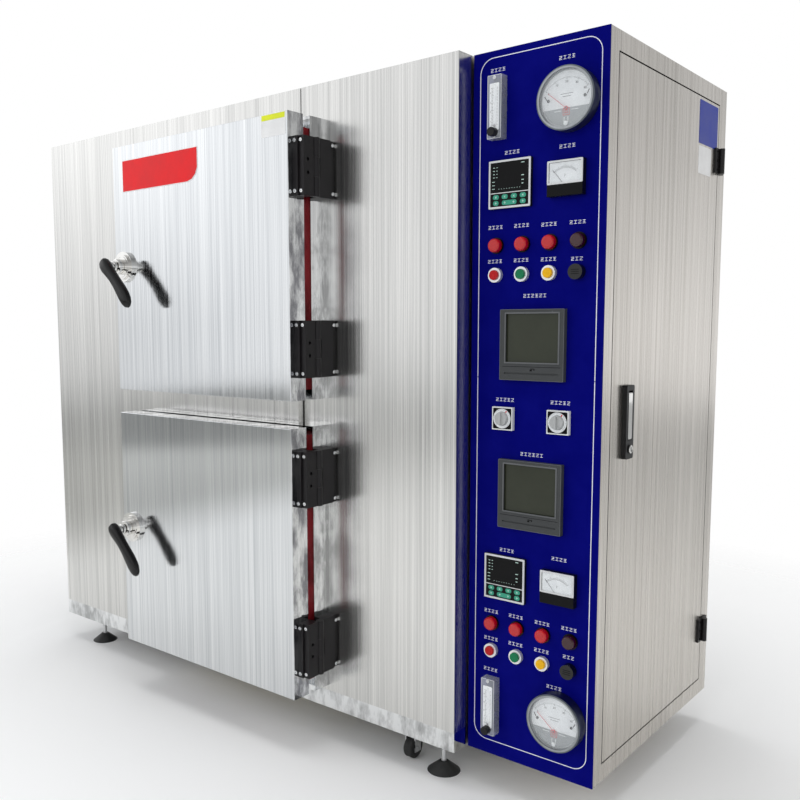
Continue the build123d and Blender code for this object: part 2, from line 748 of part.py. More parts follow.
# Lamps in the upper row of each group, buttons and a buzzer in the lower row
with BuildPart() as lamps:
    for z in rows.values():
        for x in columns:
            round_y(x, z, lamp_radius, cabinet_front - lamp_proud, cabinet_front)
    fillet(lamps.edges().group_by(Axis.Y)[0], radius=lamp_dome)
    for z in rows.values():
        for x in columns:
            round_y(x, z, hole_radius - fit_gap, cabinet_front - 1, behind + lamp_case_depth)
keep(lamps, "lamps")
cap_bore = cap_radius + cap_play
with BuildPart() as button_rings:
    for z in rows.values():
        for x in columns[:3]:
            round_y(x, z - button_drop, ring_radius, cabinet_front - ring_proud, cabinet_front)
            round_y(x, z - button_drop, hole_radius - fit_gap, cabinet_front - 1, behind + button_case_depth)
            round_y(x, z - button_drop, cap_bore, cabinet_front - ring_proud - 1, behind, Mode.SUBTRACT)
        x = columns[3]
        round_y(x, z - button_drop, buzzer_radius, cabinet_front - lamp_proud, cabinet_front)
        round_y(x, z - button_drop, hole_radius - fit_gap, cabinet_front - 1, behind + button_case_depth)
keep(button_rings, "button_rings")
for name, z in rows.items():
    for x, purpose in zip(columns, ("stop", "start", "heat")):
        with BuildPart() as button:
            round_y(x, z - button_drop, cap_radius, cabinet_front - ring_proud - cap_proud,
                    behind - button_travel - fit_gap)
            fillet(button.edges().group_by(Axis.Y)[0], radius=1)
        keep(button, f"{name}_{purpose}_button")

# Side door of the cabinet: a folded tray with hinge ears, its frame hinges and its swing handle
side_pivot_x = cabinet_right + side_hinge_out
side_pivot_y = door_y1 + side_gap / 2
with BuildPart() as side_door:
    block(cabinet_right - side_door_depth, cabinet_right, door_y0, door_y1, door_z0, door_z1)
    block(cabinet_right - side_door_depth - 1, cabinet_right - sheet, door_y0 + sheet, door_y1 - sheet,
          door_z0 + sheet, door_z1 - sheet, Mode.SUBTRACT)
keep(side_door, "side_door")
side_hinges_at = (door_z0 + side_hinge_inset_low, door_z1 - side_hinge_inset_high)
leaf = side_hinge_radius * 0.7
leaf_clear = side_hinge_radius + 2 * fit_gap
with BuildPart() as side_door_leaves:
    for middle in side_hinges_at:
        third = side_hinge_height / 6 - fit_gap
        block(cabinet_right, cabinet_right + leaf, side_pivot_y - side_leaf_width,
              side_pivot_y - leaf_clear, middle - side_hinge_height / 2, middle + side_hinge_height / 2)
        block(cabinet_right + side_gap, cabinet_right + leaf, side_pivot_y - leaf_clear, side_pivot_y,
              middle - third, middle + third)
        round_z(side_pivot_x, side_pivot_y, side_hinge_radius, middle - third, middle + third)
        round_z(side_pivot_x, side_pivot_y, pin_radius + running_gap, middle - third - 1,
                middle + third + 1, Mode.SUBTRACT)
keep(side_door_leaves, "side_door_leaves")
with BuildPart() as side_frame_hinges:
    for middle in side_hinges_at:
        third = side_hinge_height / 6
        block(cabinet_right, cabinet_right + leaf, side_pivot_y + leaf_clear,
              side_pivot_y + side_leaf_width, middle - side_hinge_height / 2, middle + side_hinge_height / 2)
        for z0, z1 in ((middle - side_hinge_height / 2, middle - third),
                       (middle + third, middle + side_hinge_height / 2)):
            block(cabinet_right + side_gap, cabinet_right + leaf, side_pivot_y,
                  side_pivot_y + leaf_clear, z0, z1)
            round_z(side_pivot_x, side_pivot_y, side_hinge_radius, z0, z1)
        round_z(side_pivot_x, side_pivot_y, pin_radius, middle - third - 1, middle + third + 1)
keep(side_frame_hinges, "side_frame_hinges")

# Lock plate with a recess, its key barrel, and the swing handle in the recess
lock_y0 = cabinet_front + lock_front
lock_z0 = base + lock_middle * level_share - lock_height / 2
lock_z1 = lock_z0 + lock_height
lock_y = lock_y0 + lock_width / 2
swing_z = lock_z1 - lock_width / 2
swing_floor = cabinet_right + side_gap
swing_thickness = lock_proud - side_gap
swing_x = swing_floor + fit_gap + swing_thickness / 2
with BuildPart() as lock_plate:
    block(cabinet_right, cabinet_right + lock_proud, lock_y0, lock_y0 + lock_width, lock_z0, lock_z1)
    fillet(lock_plate.edges().filter_by(Axis.X), radius=5)
    block(swing_floor, cabinet_right + lock_proud + 1, lock_y - swing_width / 2 - 1,
          lock_y + swing_width / 2 + 1, swing_z - swing_length - 2, swing_z + swing_thickness, Mode.SUBTRACT)
    with Locations((cabinet_right + lock_proud / 2 + 1, lock_y, lock_z0 + lock_width / 2 + 2)):
        Cylinder(swing_width / 2, lock_proud + 2, rotation=(0, 90, 0))
keep(lock_plate, "lock_plate")
with BuildPart() as swing_handle:
    block(swing_floor + fit_gap, swing_floor + fit_gap + swing_thickness, lock_y - swing_width / 2,
          lock_y + swing_width / 2, swing_z - swing_length, swing_z)
    with Locations((swing_x, lock_y, swing_z)):
        Cylinder(swing_thickness / 2, swing_width, rotation=(90, 0, 0))
    fillet(swing_handle.edges().filter_by(Axis.X).group_by(Axis.Z)[0], radius=4)
keep(swing_handle, "swing_handle")

# Switchgear on its mounting plate inside the cabinet
plate_x = cabinet_left + gear_plate_from_left
gear_y0 = cabinet_front + gear_plate_front
gear_y1 = cabinet_back - gear_plate_back
gear_z0 = base + gear_plate_low
gear_z1 = top - gear_plate_high
half_stud = gear_stud / 2
with BuildPart() as switchgear:
    block(plate_x, plate_x + panel_thickness, gear_y0, gear_y1, gear_z0, gear_z1)
    for stud_y in (gear_y0 + gear_rail_inset, gear_y1 - gear_rail_inset):
        for stud_z in (gear_z0 + gear_rail_inset, gear_z1 - gear_rail_inset):
            block(cabinet_left + sheet, plate_x, stud_y - half_stud, stud_y + half_stud,
                  stud_z - half_stud, stud_z + half_stud)
    row_pitch = (gear_z1 - gear_z0 - 2 * gear_row_inset) / (gear_rows - 1)
    unit_pitch = (gear_y1 - gear_y0 - 2 * gear_unit_inset) / (gear_units - 1)
    for row in range(gear_rows):
        row_z = gear_z0 + gear_row_inset + row * row_pitch
        block(plate_x, plate_x + gear_rail_depth, gear_y0 + gear_rail_inset, gear_y1 - gear_rail_inset,
              row_z - gear_rail_height / 2, row_z + gear_rail_height / 2)
        for unit in range(gear_units):
            unit_y = gear_y0 + gear_unit_inset + unit * unit_pitch
            unit_x = plate_x + gear_rail_depth - 1
            block(unit_x, unit_x + gear_unit_depth, unit_y - gear_unit_width / 2,
                  unit_y + gear_unit_width / 2, row_z - gear_unit_height / 2, row_z + gear_unit_height / 2)
keep(switchgear, "switchgear")
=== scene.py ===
"""Looks of the stacked-chamber oven: finishes, fittings, dials, plates, light and camera."""
import math

import bmesh
import bpy
from mathutils import Matrix, Vector


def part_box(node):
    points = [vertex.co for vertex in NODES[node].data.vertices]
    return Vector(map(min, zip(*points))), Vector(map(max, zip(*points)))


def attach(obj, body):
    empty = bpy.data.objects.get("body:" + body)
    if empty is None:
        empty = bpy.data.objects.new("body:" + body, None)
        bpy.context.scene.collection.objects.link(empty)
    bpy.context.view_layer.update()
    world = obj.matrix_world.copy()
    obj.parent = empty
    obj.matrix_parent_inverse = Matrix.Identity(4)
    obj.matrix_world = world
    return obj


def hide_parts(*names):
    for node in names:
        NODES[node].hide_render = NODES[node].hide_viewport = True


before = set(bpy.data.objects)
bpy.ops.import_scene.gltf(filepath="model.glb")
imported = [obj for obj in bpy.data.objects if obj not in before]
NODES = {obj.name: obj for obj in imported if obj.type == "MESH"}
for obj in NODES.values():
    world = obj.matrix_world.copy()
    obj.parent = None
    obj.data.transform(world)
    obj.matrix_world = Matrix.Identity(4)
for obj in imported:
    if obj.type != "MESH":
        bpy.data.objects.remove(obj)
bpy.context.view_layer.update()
MM = 0.001


class Value:
    """A number, colour or direction in a material, with ordinary arithmetic."""

    def __init__(self, finish, socket):
        self.finish = finish
        self.socket = socket

    def combine(self, kind, first, second=None, third=None):
        """One step of arithmetic on numbers."""
        given = [item for item in (first, second, third) if item is not None]
        return self.finish.node("ShaderNodeMath", {"operation": kind}, dict(enumerate(given)))

    def __add__(self, other):
        return self.combine("ADD", self, other)

    def __radd__(self, other):
        return self.combine("ADD", other, self)

    def __sub__(self, other):
        return self.combine("SUBTRACT", self, other)

    def __rsub__(self, other):
        return self.combine("SUBTRACT", other, self)

    def __mul__(self, other):
        return self.combine("MULTIPLY", self, other)

    def __rmul__(self, other):
        return self.combine("MULTIPLY", other, self)

    def __gt__(self, other):
        return self.combine("GREATER_THAN", self, other)

    def __lt__(self, other):
        return self.combine("LESS_THAN", self, other)

    def size(self):
        return self.combine("ABSOLUTE", self)

    def spread(self, low, high, to_low=0.0, to_high=1.0):
        """Moves the range low..high to to_low..to_high, and stops at its ends."""
        return self.finish.node("ShaderNodeMapRange", {}, {0: self, 1: low, 2: high, 3: to_low, 4: to_high})


class Finish:
    """A material under construction: a surface shader and what feeds it."""

    def __init__(self, name, color=(0.5, 0.5, 0.5), **fixed):
        self.material = bpy.data.materials.new(name)
        self.material.use_nodes = True
        self.tree = self.material.node_tree
        self.surface = self.tree.nodes["Principled BSDF"]
        self.put("Base Color", color)
        for key, amount in fixed.items():
            self.put(key.replace("_", " ").title().replace("Ior", "IOR"), amount)

    def put(self, name, amount):
        self.join(self.surface.inputs[name], amount)

    def join(self, socket, amount):
        """Links a value to a socket, or writes a plain amount on it."""
        if isinstance(amount, Value):
            self.tree.links.new(amount.socket, socket)
        elif isinstance(amount, tuple) and socket.type == "RGBA" and len(amount) == 3:
            socket.default_value = (*amount, 1.0)
        else:
            socket.default_value = amount

    def node(self, kind, settings, inputs, output=0):
        """Any shader node: its type, its settings and its inputs."""
        made = self.tree.nodes.new(kind)
        for key, setting in settings.items():
            setattr(made, key, setting)
        for key, amount in inputs.items():
            self.join(made.inputs[key], amount)
        return Value(self, made.outputs[output])

    def place(self):
        return self.node("ShaderNodeTexCoord", {}, {}, "Object")

    def facing(self):
        return self.node("ShaderNodeTexCoord", {}, {}, "Normal")

    def along(self, vector, axis):
        return self.node("ShaderNodeSeparateXYZ", {}, {0: vector}, axis)

    def stretch(self, vector, scale):
        return self.node("ShaderNodeVectorMath", {"operation": "MULTIPLY"}, {0: vector, 1: scale})

    def noise(self, scale, stretch=(1.0, 1.0, 1.0), detail=3.0, roughness=0.5):
        where = self.stretch(self.place(), stretch)
        return self.node("ShaderNodeTexNoise", {},
                         {"Vector": where, "Scale": scale, "Detail": detail, "Roughness": roughness})

    def mixed(self, share, first, second):
        """A blend of two colours."""
        return self.node("ShaderNodeMix", {"data_type": "RGBA", "clamp_factor": True},
                         {0: share, 6: first, 7: second}, 2)

    def bump(self, height, strength, distance=0.001):
        self.put("Normal", self.node("ShaderNodeBump", {},
                                     {"Strength": strength, "Distance": distance, "Height": height}))

    def done(self, *names):
        """Gives the finish to CAD nodes, and returns the material."""
        for name in names:
            mesh = NODES[name].data
            mesh.materials.clear()
            mesh.materials.append(self.material)
        return self.material


def steel(name, light, dark, shine, sides=None, grain=(1.0, 1.0, 0.0035), polish=0.05, depth=0.1):
    """Brushed sheet with its grain along Z, and mirror polish on the faces named by sides, whose dark and
    bright swirl patches are painted reflection.
    """
    made = Finish(name, metallic=1.0, anisotropic=0.25)
    fine = made.noise(430.0, grain, 2.0, 0.6)
    broad = made.noise(95.0, grain, 3.0, 0.6)
    cloud = made.noise(2.2, (1.0, 1.0, 0.6), 2.0)
    streaks = (fine.spread(0.36, 0.64) * 0.5 + broad.spread(0.32, 0.68) * 0.38
               + cloud.spread(0.35, 0.65) * 0.12)
    rough = shine + streaks * 0.08
    color = made.mixed(streaks, dark, light)
    height = streaks
    if sides is not None:
        turned = sides(made)
        rough = rough * (1.0 - turned) + turned * polish
        # On the polished faces, dark and bright swirl patches in the colour are painted reflection; the same
        # noise gives real polish swirls in the bump
        swirl_and_reflection_noise = made.noise(26.0, (1.0, 1.0, 0.35), 5.0, 0.65)
        painted_reflection_patches = made.mixed(swirl_and_reflection_noise.spread(0.42, 0.6), (0.30, 0.30, 0.32), (0.93, 0.94, 0.95))
        color = made.mixed(turned, color, painted_reflection_patches)
        height = streaks * (1.0 - turned) + swirl_and_reflection_noise * turned * 3.0
    made.bump(height, depth, 0.0006)
    made.put("Base Color", color)
    made.put("Roughness", rough)
    return made


def edges_x_z(made):
    """The faces of a door or frame that don't look forward or back."""
    return made.along(made.facing(), 1).size() < 0.7


def mirror(name, color, shine=0.06, wear=0.1, shade=0.3):
    """Polished metal with faint wipe marks."""
    made = Finish(name, color, metallic=1.0)
    marks = made.noise(28.0, (1.0, 1.0, 0.4), 5.0, 0.65)
    made.put("Roughness", shine + marks.spread(0.45, 0.75) * wear)
    dark = tuple(part * 0.45 for part in color)
    made.put("Base Color", made.mixed(marks.spread(0.42, 0.6) * shade, color, dark))
    made.bump(made.noise(9.0, (1.0, 1.0, 1.0), 2.0), 0.05, 0.002)
    return made


def paint(name, color, shine=0.4, metal=0.0, texture=900.0, depth=0.12, wear=0.12, gloss=0.3):
    """Coated or moulded stuff with a fine skin."""
    made = Finish(name, color, metallic=metal)
    skin = made.noise(texture, (1.0, 1.0, 1.0), 2.0)
    patch = made.noise(18.0, (1.0, 1.0, 1.0), 4.0, 0.6)
    lighter = tuple(min(1.0, part * 1.25 + 0.002) for part in color)
    made.surface.inputs["Specular IOR Level"].default_value = gloss
    made.put("Base Color", made.mixed(patch.spread(0.35, 0.7) * 0.6 + skin * 0.2, color, lighter))
    made.put("Roughness", shine + patch.spread(0.3, 0.7) * wear)
    made.bump(skin, depth, 0.0004)
    return made


def clear(name, color, shine=0.04, alpha=0.2):
    """Clear cover: mostly seen through, with a reflecting skin."""
    made = Finish(name, color, roughness=shine)
    haze = made.noise(60.0, (1.0, 1.0, 1.0), 3.0)
    made.put("Alpha", alpha + haze.spread(0.4, 0.8) * 0.05)
    made.put("Roughness", shine + haze * 0.04)
    made.surface.inputs["Specular IOR Level"].default_value = 0.8
    return made


steel("door sheet", (0.88, 0.89, 0.90), (0.52, 0.54, 0.56), 0.07, edges_x_z).done("upper_door", "lower_door")
steel("front sheet", (0.88, 0.87, 0.85), (0.52, 0.52, 0.51), 0.2).done(
    "left_front_panel", "right_front_panel", "outer_panels", "mullion_plate")
steel("cabinet sheet", (0.82, 0.78, 0.73), (0.48, 0.45, 0.41), 0.24).done("cabinet_shell", "side_door")
steel("chamber sheet", (0.72, 0.72, 0.72), (0.48, 0.48, 0.48), 0.22).done("upper_liner", "lower_liner")
mirror("polished steel", (0.90, 0.91, 0.92), 0.05, 0.08, 0.9).done("door_frames", "base_frame")
bright = mirror("bright chrome", (0.88, 0.87, 0.85), 0.04, 0.08)
bright.done("upper_handle_boss", "lower_handle_boss", "swing_handle")
mirror("shelf wire", (0.78, 0.79, 0.80), 0.12, 0.16).done("upper_shelf", "lower_shelf")
mirror("fan sheet", (0.72, 0.73, 0.74), 0.25, 0.2).done("upper_fan", "lower_fan")
mirror("zinc plate", (0.66, 0.67, 0.68), 0.25, 0.2).done("caster_forks")
mirror("heater sheath", (0.36, 0.32, 0.29), 0.35, 0.2).done("heaters")
paint("mineral wool", (0.72, 0.64, 0.42), 0.9, 0.0, 260.0, 0.8, 0.05).done("insulation")
paint("red silicone", (0.26, 0.012, 0.018), 0.28, 0.0, 500.0, 0.1, 0.15).done("door_gaskets")
paint("hinge coating", (0.006, 0.005, 0.006), 0.36, 0.0, 700.0, 0.5, 0.15, 0.35).done(
    "upper_door_leaves", "lower_door_leaves", "frame_hinges", "side_door_leaves", "side_frame_hinges")
moulding = paint("black moulding", (0.0025, 0.0025, 0.003), 0.16, 0.0, 700.0, 0.03, 0.08, 0.35)
satin_black = paint("satin black", (0.006, 0.006, 0.007), 0.36, 0.0, 1400.0, 0.15, 0.1, 0.3)
satin_black.done("lock_plate", "controllers", "left_setter_knob", "right_setter_knob", "upper_flow_knob",
                 "lower_flow_knob", "upper_gauge_pointer", "lower_gauge_pointer")
paint("panel paint", (0.001, 0.0016, 0.15), 0.4, 0.0, 1600.0, 0.1, 0.08, 0.02).done(
    "upper_panel", "lower_panel")
paint("recorder moulding", (0.045, 0.048, 0.05), 0.42, 0.0, 1500.0, 0.2, 0.1).done("recorders")
paint("switchgear moulding", (0.55, 0.56, 0.55), 0.45).done("switchgear")
paint("motor enamel", (0.16, 0.18, 0.2), 0.4).done("fan_motors")
paint("black rubber", (0.02, 0.02, 0.02), 0.6, 0.0, 700.0, 0.3).done(
    "caster_wheel_1", "caster_wheel_2", "caster_wheel_3", "caster_wheel_4")
mirror("gauge rim", (0.17, 0.19, 0.21), 0.32, 0.15).done("gauges")
clear("clear block", (0.86, 0.9, 0.93), 0.05, 0.3).done("flow_meters")
paint("white moulding", (0.72, 0.73, 0.73), 0.35).done("setters")
paint("meter black", (0.003, 0.003, 0.004), 0.2).done("ammeters")
CAP_COLORS = {"stop": (0.42, 0.002, 0.004), "start": (0.0, 0.16, 0.06), "heat": (0.78, 0.42, 0.002)}
for name, color in CAP_COLORS.items():
    cap = paint(f"{name} cap", color, 0.22, 0.0, 600.0, 0.04, 0.08)
    cap.done(f"upper_{name}_button", f"lower_{name}_button")

# Columns of lamps and buttons, and levels of the two groups
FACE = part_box("upper_panel")[0][1]
PANEL_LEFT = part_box("upper_panel")[0][0]
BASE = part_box("cabinet_shell")[0][2]


def at_panel(x, z):
    """A place on the control panel, from its left edge and lower end in mm."""
    return Vector((PANEL_LEFT + x * MM, FACE, BASE + z * MM))


last_column = PANEL_LEFT + 0.212
lamp_finish = Finish("lamp lens", coat_weight=0.4)
is_last = lamp_finish.along(lamp_finish.place(), 0) > last_column
ribs = lamp_finish.noise(420.0, (1.0, 1.0, 1.0), 2.0)
lens = lamp_finish.mixed(ribs.spread(0.3, 0.7) * 0.4, (0.48, 0.001, 0.004), (0.62, 0.008, 0.01))
lamp_finish.put("Base Color", lamp_finish.mixed(is_last, lens, (0.03, 0.0006, 0.004)))
lamp_finish.put("Roughness", 0.16 + ribs * 0.08)
lamp_finish.bump(ribs, 0.1, 0.0005)
lamp_finish.done("lamps")
ring_finish = Finish("button rings")
is_last = ring_finish.along(ring_finish.place(), 0) > last_column
turned = ring_finish.noise(500.0, (1.0, 0.1, 1.0), 2.0)
ring_finish.put("Base Color", ring_finish.mixed(is_last, (0.84, 0.85, 0.86), (0.003, 0.003, 0.004)))
ring_finish.put("Metallic", (1.0 - is_last) * 0.5)
ring_finish.put("Roughness", 0.2 + turned * 0.05)
ring_finish.bump(turned, 0.01, 0.0001)
ring_finish.done("button_rings")
foot_finish = Finish("levelling feet")
is_stem = foot_finish.along(foot_finish.place(), 2) > 0.0225
scuff = foot_finish.noise(90.0, (1.0, 1.0, 1.0), 3.0)
foot_finish.put("Base Color", foot_finish.mixed(is_stem, foot_finish.mixed(scuff, (0.012, 0.012, 0.012),
                                                                            (0.04, 0.04, 0.04)),
                                                (0.7, 0.71, 0.72)))
foot_finish.put("Metallic", is_stem)
foot_finish.put("Roughness", 0.55 - is_stem * 0.3 + scuff * 0.1)
foot_finish.bump(scuff, 0.15, 0.001)
foot_finish.done("levelling_feet")


def piece(name, shape, finish, body="body", smooth=True):
    """Turns a bmesh into a piece that rides on a CAD body."""
    bmesh.ops.recalc_face_normals(shape, faces=shape.faces)
    mesh = bpy.data.meshes.new(name)
    shape.to_mesh(mesh)
    shape.free()
    thing = bpy.data.objects.new(name, mesh)
    bpy.context.scene.collection.objects.link(thing)
    mesh.materials.append(finish)
    if smooth:
        mesh.polygons.foreach_set("use_smooth", [True] * len(mesh.polygons))
        mesh.set_sharp_from_angle(angle=math.radians(35))
    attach(thing, body)
    return thing


def slab(shape, low, high, edge=0.0):
    """A block between two corners, with edge as its bevel."""
    part = bmesh.new()
    corners = [(x, y, z) for x in (low[0], high[0]) for y in (low[1], high[1]) for z in (low[2], high[2])]
    made = [part.verts.new(corner) for corner in corners]
    for face in ((0, 1, 3, 2), (4, 6, 7, 5), (0, 4, 5, 1), (2, 3, 7, 6), (0, 2, 6, 4), (1, 5, 7, 3)):
        part.faces.new([made[index] for index in face])
    if edge:
        bmesh.ops.bevel(part, geom=part.edges[:], offset=edge, segments=2, affect="EDGES", profile=0.5)
    append(shape, part)


def append(shape, part):
    """Adds one bmesh to another."""
    mesh = bpy.data.meshes.new("part")
    part.to_mesh(mesh)
    part.free()
    shape.from_mesh(mesh)
    bpy.data.meshes.remove(mesh)


def skin(shape, rings, closed=True, caps=True):
    """Joins rings of points into a surface."""
    rows = [[shape.verts.new(point) for point in ring] for ring in rings]
    count = len(rows[0])
    for first, second in zip(rows, rows[1:]):
        for index in range(count if closed else count - 1):
            after = (index + 1) % count
            shape.faces.new((first[index], first[after], second[after], second[index]))
    if caps:
        shape.faces.new(rows[0])
        shape.faces.new(rows[-1])


def turned_shape(shape, centre, profile, sides=40, axis="y"):
    """A turned piece: profile holds (radius, distance toward the front) in mm."""
    rings = []
    for radius, ahead in profile:
        ring = []
        for step in range(sides):
            turn = 2 * math.pi * step / sides
            across = radius * MM * math.cos(turn)
            up = radius * MM * math.sin(turn)
            if axis == "y":
                ring.append((centre[0] + across, centre[1] - ahead * MM, centre[2] + up))
            elif axis == "x":
                ring.append((centre[0] + ahead * MM, centre[1] + across, centre[2] + up))
            else:
                ring.append((centre[0] + across, centre[1] + up, centre[2] + ahead * MM))
        rings.append(ring)
    skin(shape, rings)


def flat_ring(shape, centre, inner, outer, thick, sides=48):
    """A flat ring on the face of a dial."""
    rings = []
    for radius, ahead in ((inner, 0.0), (inner, thick), (outer, thick), (outer, 0.0), (inner, 0.0)):
        turns = [2 * math.pi * step / sides for step in range(sides)]
        rings.append([(centre[0] + radius * MM * math.cos(turn), centre[1] - ahead * MM,
                       centre[2] + radius * MM * math.sin(turn)) for turn in turns])
    skin(shape, rings, caps=False)


def rounded(width, height, radius, steps=8):
    """Points of a rounded rectangle, round its middle, in mm."""
    points = []
    for corner, (sx, sz) in enumerate(((1, 1), (-1, 1), (-1, -1), (1, -1))):
        for step in range(steps + 1):
            turn = math.pi / 2 * (corner + step / steps)
            points.append((sx * (width / 2 - radius) + radius * math.cos(turn),
                           sz * (height / 2 - radius) + radius * math.sin(turn)))
    return points


def outline_plate(shape, centre, points, thick, edge=0.0, side=False):
    """A thin plate of any outline on a front face, or on a right side when side is set."""
    rings = []
    for shrink, ahead in ((0.0, 0.0), (0.0, thick - edge), (edge, thick)):
        ring = []
        for across, up in points:
            size = math.hypot(across, up)
            share = (size - shrink) / size
            wide, high = across * share * MM, centre[2] + up * share * MM
            if side:
                ring.append((centre[0] + ahead * MM, centre[1] + wide, high))
            else:
                ring.append((centre[0] + wide, centre[1] - ahead * MM, high))
        rings.append(ring)
    skin(shape, rings)


def dash(shape, centre, across, up, length, width, turn=0.0, thick=0.15):
    """A thin printed stroke, turned by an angle in degrees, on a front face."""
    c, s = math.cos(math.radians(turn)), math.sin(math.radians(turn))
    ring = []
    for along, aside in ((-1, -1), (1, -1), (1, 1), (-1, 1)):
        a, b = along * length / 2, aside * width / 2
        ring.append((across + a * c - b * s, up + a * s + b * c))
    rings = [[(centre[0] + x * MM, centre[1] - ahead * MM, centre[2] + z * MM) for x, z in ring]
             for ahead in (0.0, thick)]
    skin(shape, rings)


def numeral(name, text, place, height, finish, body="body"):
    """A plain printed number on a dial."""
    curve = bpy.data.curves.new(name, "FONT")
    curve.body = text
    curve.size = height * MM
    curve.align_x = "CENTER"
    curve.align_y = "CENTER"
    thing = bpy.data.objects.new(name, curve)
    bpy.context.scene.collection.objects.link(thing)
    thing.matrix_world = Matrix.Translation(place) @ Matrix.Rotation(math.pi / 2, 4, "X")
    curve.materials.append(finish)
    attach(thing, body)
    return thing


def cap_screw(shape, place, direction, radius, height):
    """A round head with a six-sided socket."""
    turn = Vector(direction).to_track_quat("Z", "Y").to_matrix().to_4x4()
    turn.translation = place
    rings = []
    for size, ahead in ((1.0, 0.0), (1.0, height * 0.8), (0.88, height), (0.5, height), (0.5, height * 0.4)):
        reach = radius * size * MM
        angles = [math.pi * step / 9 for step in range(18)]
        rings.append([turn @ Vector((reach * math.cos(angle), reach * math.sin(angle), ahead * MM))
                      for angle in angles])
    skin(shape, rings)


# Chamber doors: sculpted levers, boss fittings and hinge bolts
LEVER_SHAPE = ((-19, 7, 5), (-16, 13, 9), (-8, 17.5, 11), (6, 18.5, 12), (22, 16.5, 11.5), (44, 15, 10.5),
               (68, 15.5, 10.5), (92, 17.5, 11), (112, 18.5, 10.5), (126, 16.5, 9.5), (137, 12, 7.5),
               (143, 5.5, 4))
SPINDLE_PROFILE = ((8.9, 0.5), (8.9, 33), (13, 33.4), (13.5, 34), (13.5, 41), (12, 42), (10.5, 43),
                   (10.5, 46), (12.5, 47), (12.5, 53))
LEVER_SLOPE = math.radians(48)
SCREW_CIRCLE = 0.0365
HINGE_FROM_END = 0.118
ZINC = mirror("bolt zinc", (0.80, 0.81, 0.82), 0.16, 0.15).done()
PLATE_RED = paint("red plate", (0.72, 0.004, 0.008), 0.3, 0.0, 900.0, 0.05).done()
PLATE_WHITE = paint("white plate", (0.80, 0.80, 0.80), 0.35, 0.0, 900.0, 0.05).done()
PLATE_YELLOW = paint("yellow band", (0.72, 0.78, 0.03), 0.35, 0.0, 900.0, 0.05).done()
PLATE_BLUE = paint("blue plate", (0.012, 0.03, 0.30), 0.35, 0.0, 900.0, 0.05).done()
PRINT_WHITE = paint("white print", (0.80, 0.80, 0.92), 0.5, 0.0, 1500.0, 0.02).done()
PRINT_BLACK = paint("black print", (0.015, 0.015, 0.018), 0.5, 0.0, 1500.0, 0.02).done()
PRINT_RED = paint("red print", (0.62, 0.02, 0.03), 0.5, 0.0, 1500.0, 0.02).done()
MOULDING = moulding.done()
CHROME = bright.done()

for name in ("upper", "lower"):
    door_low, door_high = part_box(f"{name}_door")
    door_face = door_low[1]
    boss_low, boss_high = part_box(f"{name}_handle_boss")
    axis_x = (boss_low[0] + boss_high[0]) / 2
    axis_z = (boss_low[2] + boss_high[2]) / 2
    lever = bmesh.new()
    rings = []
    for along, wide, thick in LEVER_SHAPE:
        bow = 5.0 * math.sin(math.pi * min(max(along, 0.0), 150.0) / 150.0)
        ring = []
        for step in range(28):
            turn = 2 * math.pi * step / 28
            c, s = math.cos(turn), math.sin(turn)
            aside = wide * math.copysign(abs(c) ** 0.8, c)
            ahead = thick * math.copysign(abs(s) ** 0.75, s)
            a = along * math.cos(LEVER_SLOPE) + (aside + bow) * math.sin(LEVER_SLOPE)
            b = -along * math.sin(LEVER_SLOPE) + (aside + bow) * math.cos(LEVER_SLOPE)
            ring.append((axis_x + a * MM, door_face - (62.0 + ahead) * MM, axis_z + b * MM))
        rings.append(ring)
    skin(lever, rings)
    lever_piece = piece(f"{name}_lever", lever, MOULDING, f"{name}_handle")
    spindle = bmesh.new()
    turned_shape(spindle, (axis_x, door_face, axis_z), SPINDLE_PROFILE)
    spindle_piece = piece(f"{name}_spindle", spindle, CHROME, f"{name}_handle")
    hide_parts(f"{name}_handle")
    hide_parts(f"{name}_handle")

    screws = bmesh.new()
    for step in range(4):
        turn = math.pi / 4 + step * math.pi / 2
        place = (axis_x + SCREW_CIRCLE * math.cos(turn), door_face - 0.0084,
                 axis_z + SCREW_CIRCLE * math.sin(turn))
        cap_screw(screws, place, (0, -1, 0), 2.6, 1.6)
    flat_ring(screws, (axis_x, door_face - 0.0138, axis_z), 25.0, 28.0, 1.4)
    piece(f"{name}_boss_screws", screws, CHROME, f"{name}_door")

    bolts = bmesh.new()
    leaf_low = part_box(f"{name}_door_leaves")[0]
    frame_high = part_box("frame_hinges")[1]
    for middle in (door_low[2] + HINGE_FROM_END, door_high[2] - HINGE_FROM_END):
        for z in (middle - 0.055, middle + 0.055):
            cap_screw(bolts, (leaf_low[0] + 0.007, leaf_low[1] + 0.0001, z), (0, -1, 0), 4.6, 3.6)
            cap_screw(bolts, (leaf_low[0] + 0.021, leaf_low[1] + 0.0051, z), (0, -1, 0), 4.2, 3.0)
    piece(f"{name}_door_hinge_bolts", bolts, ZINC, f"{name}_door")
    bolts = bmesh.new()
    for middle in (door_low[2] + HINGE_FROM_END, door_high[2] - HINGE_FROM_END):
        for z in (middle - 0.054, middle + 0.054):
            cap_screw(bolts, (frame_high[0] - 0.0051, frame_high[1] - 0.005, z), (1, 0, 0), 4.2, 3.2)
    piece(f"{name}_frame_hinge_bolts", bolts, ZINC, "body")

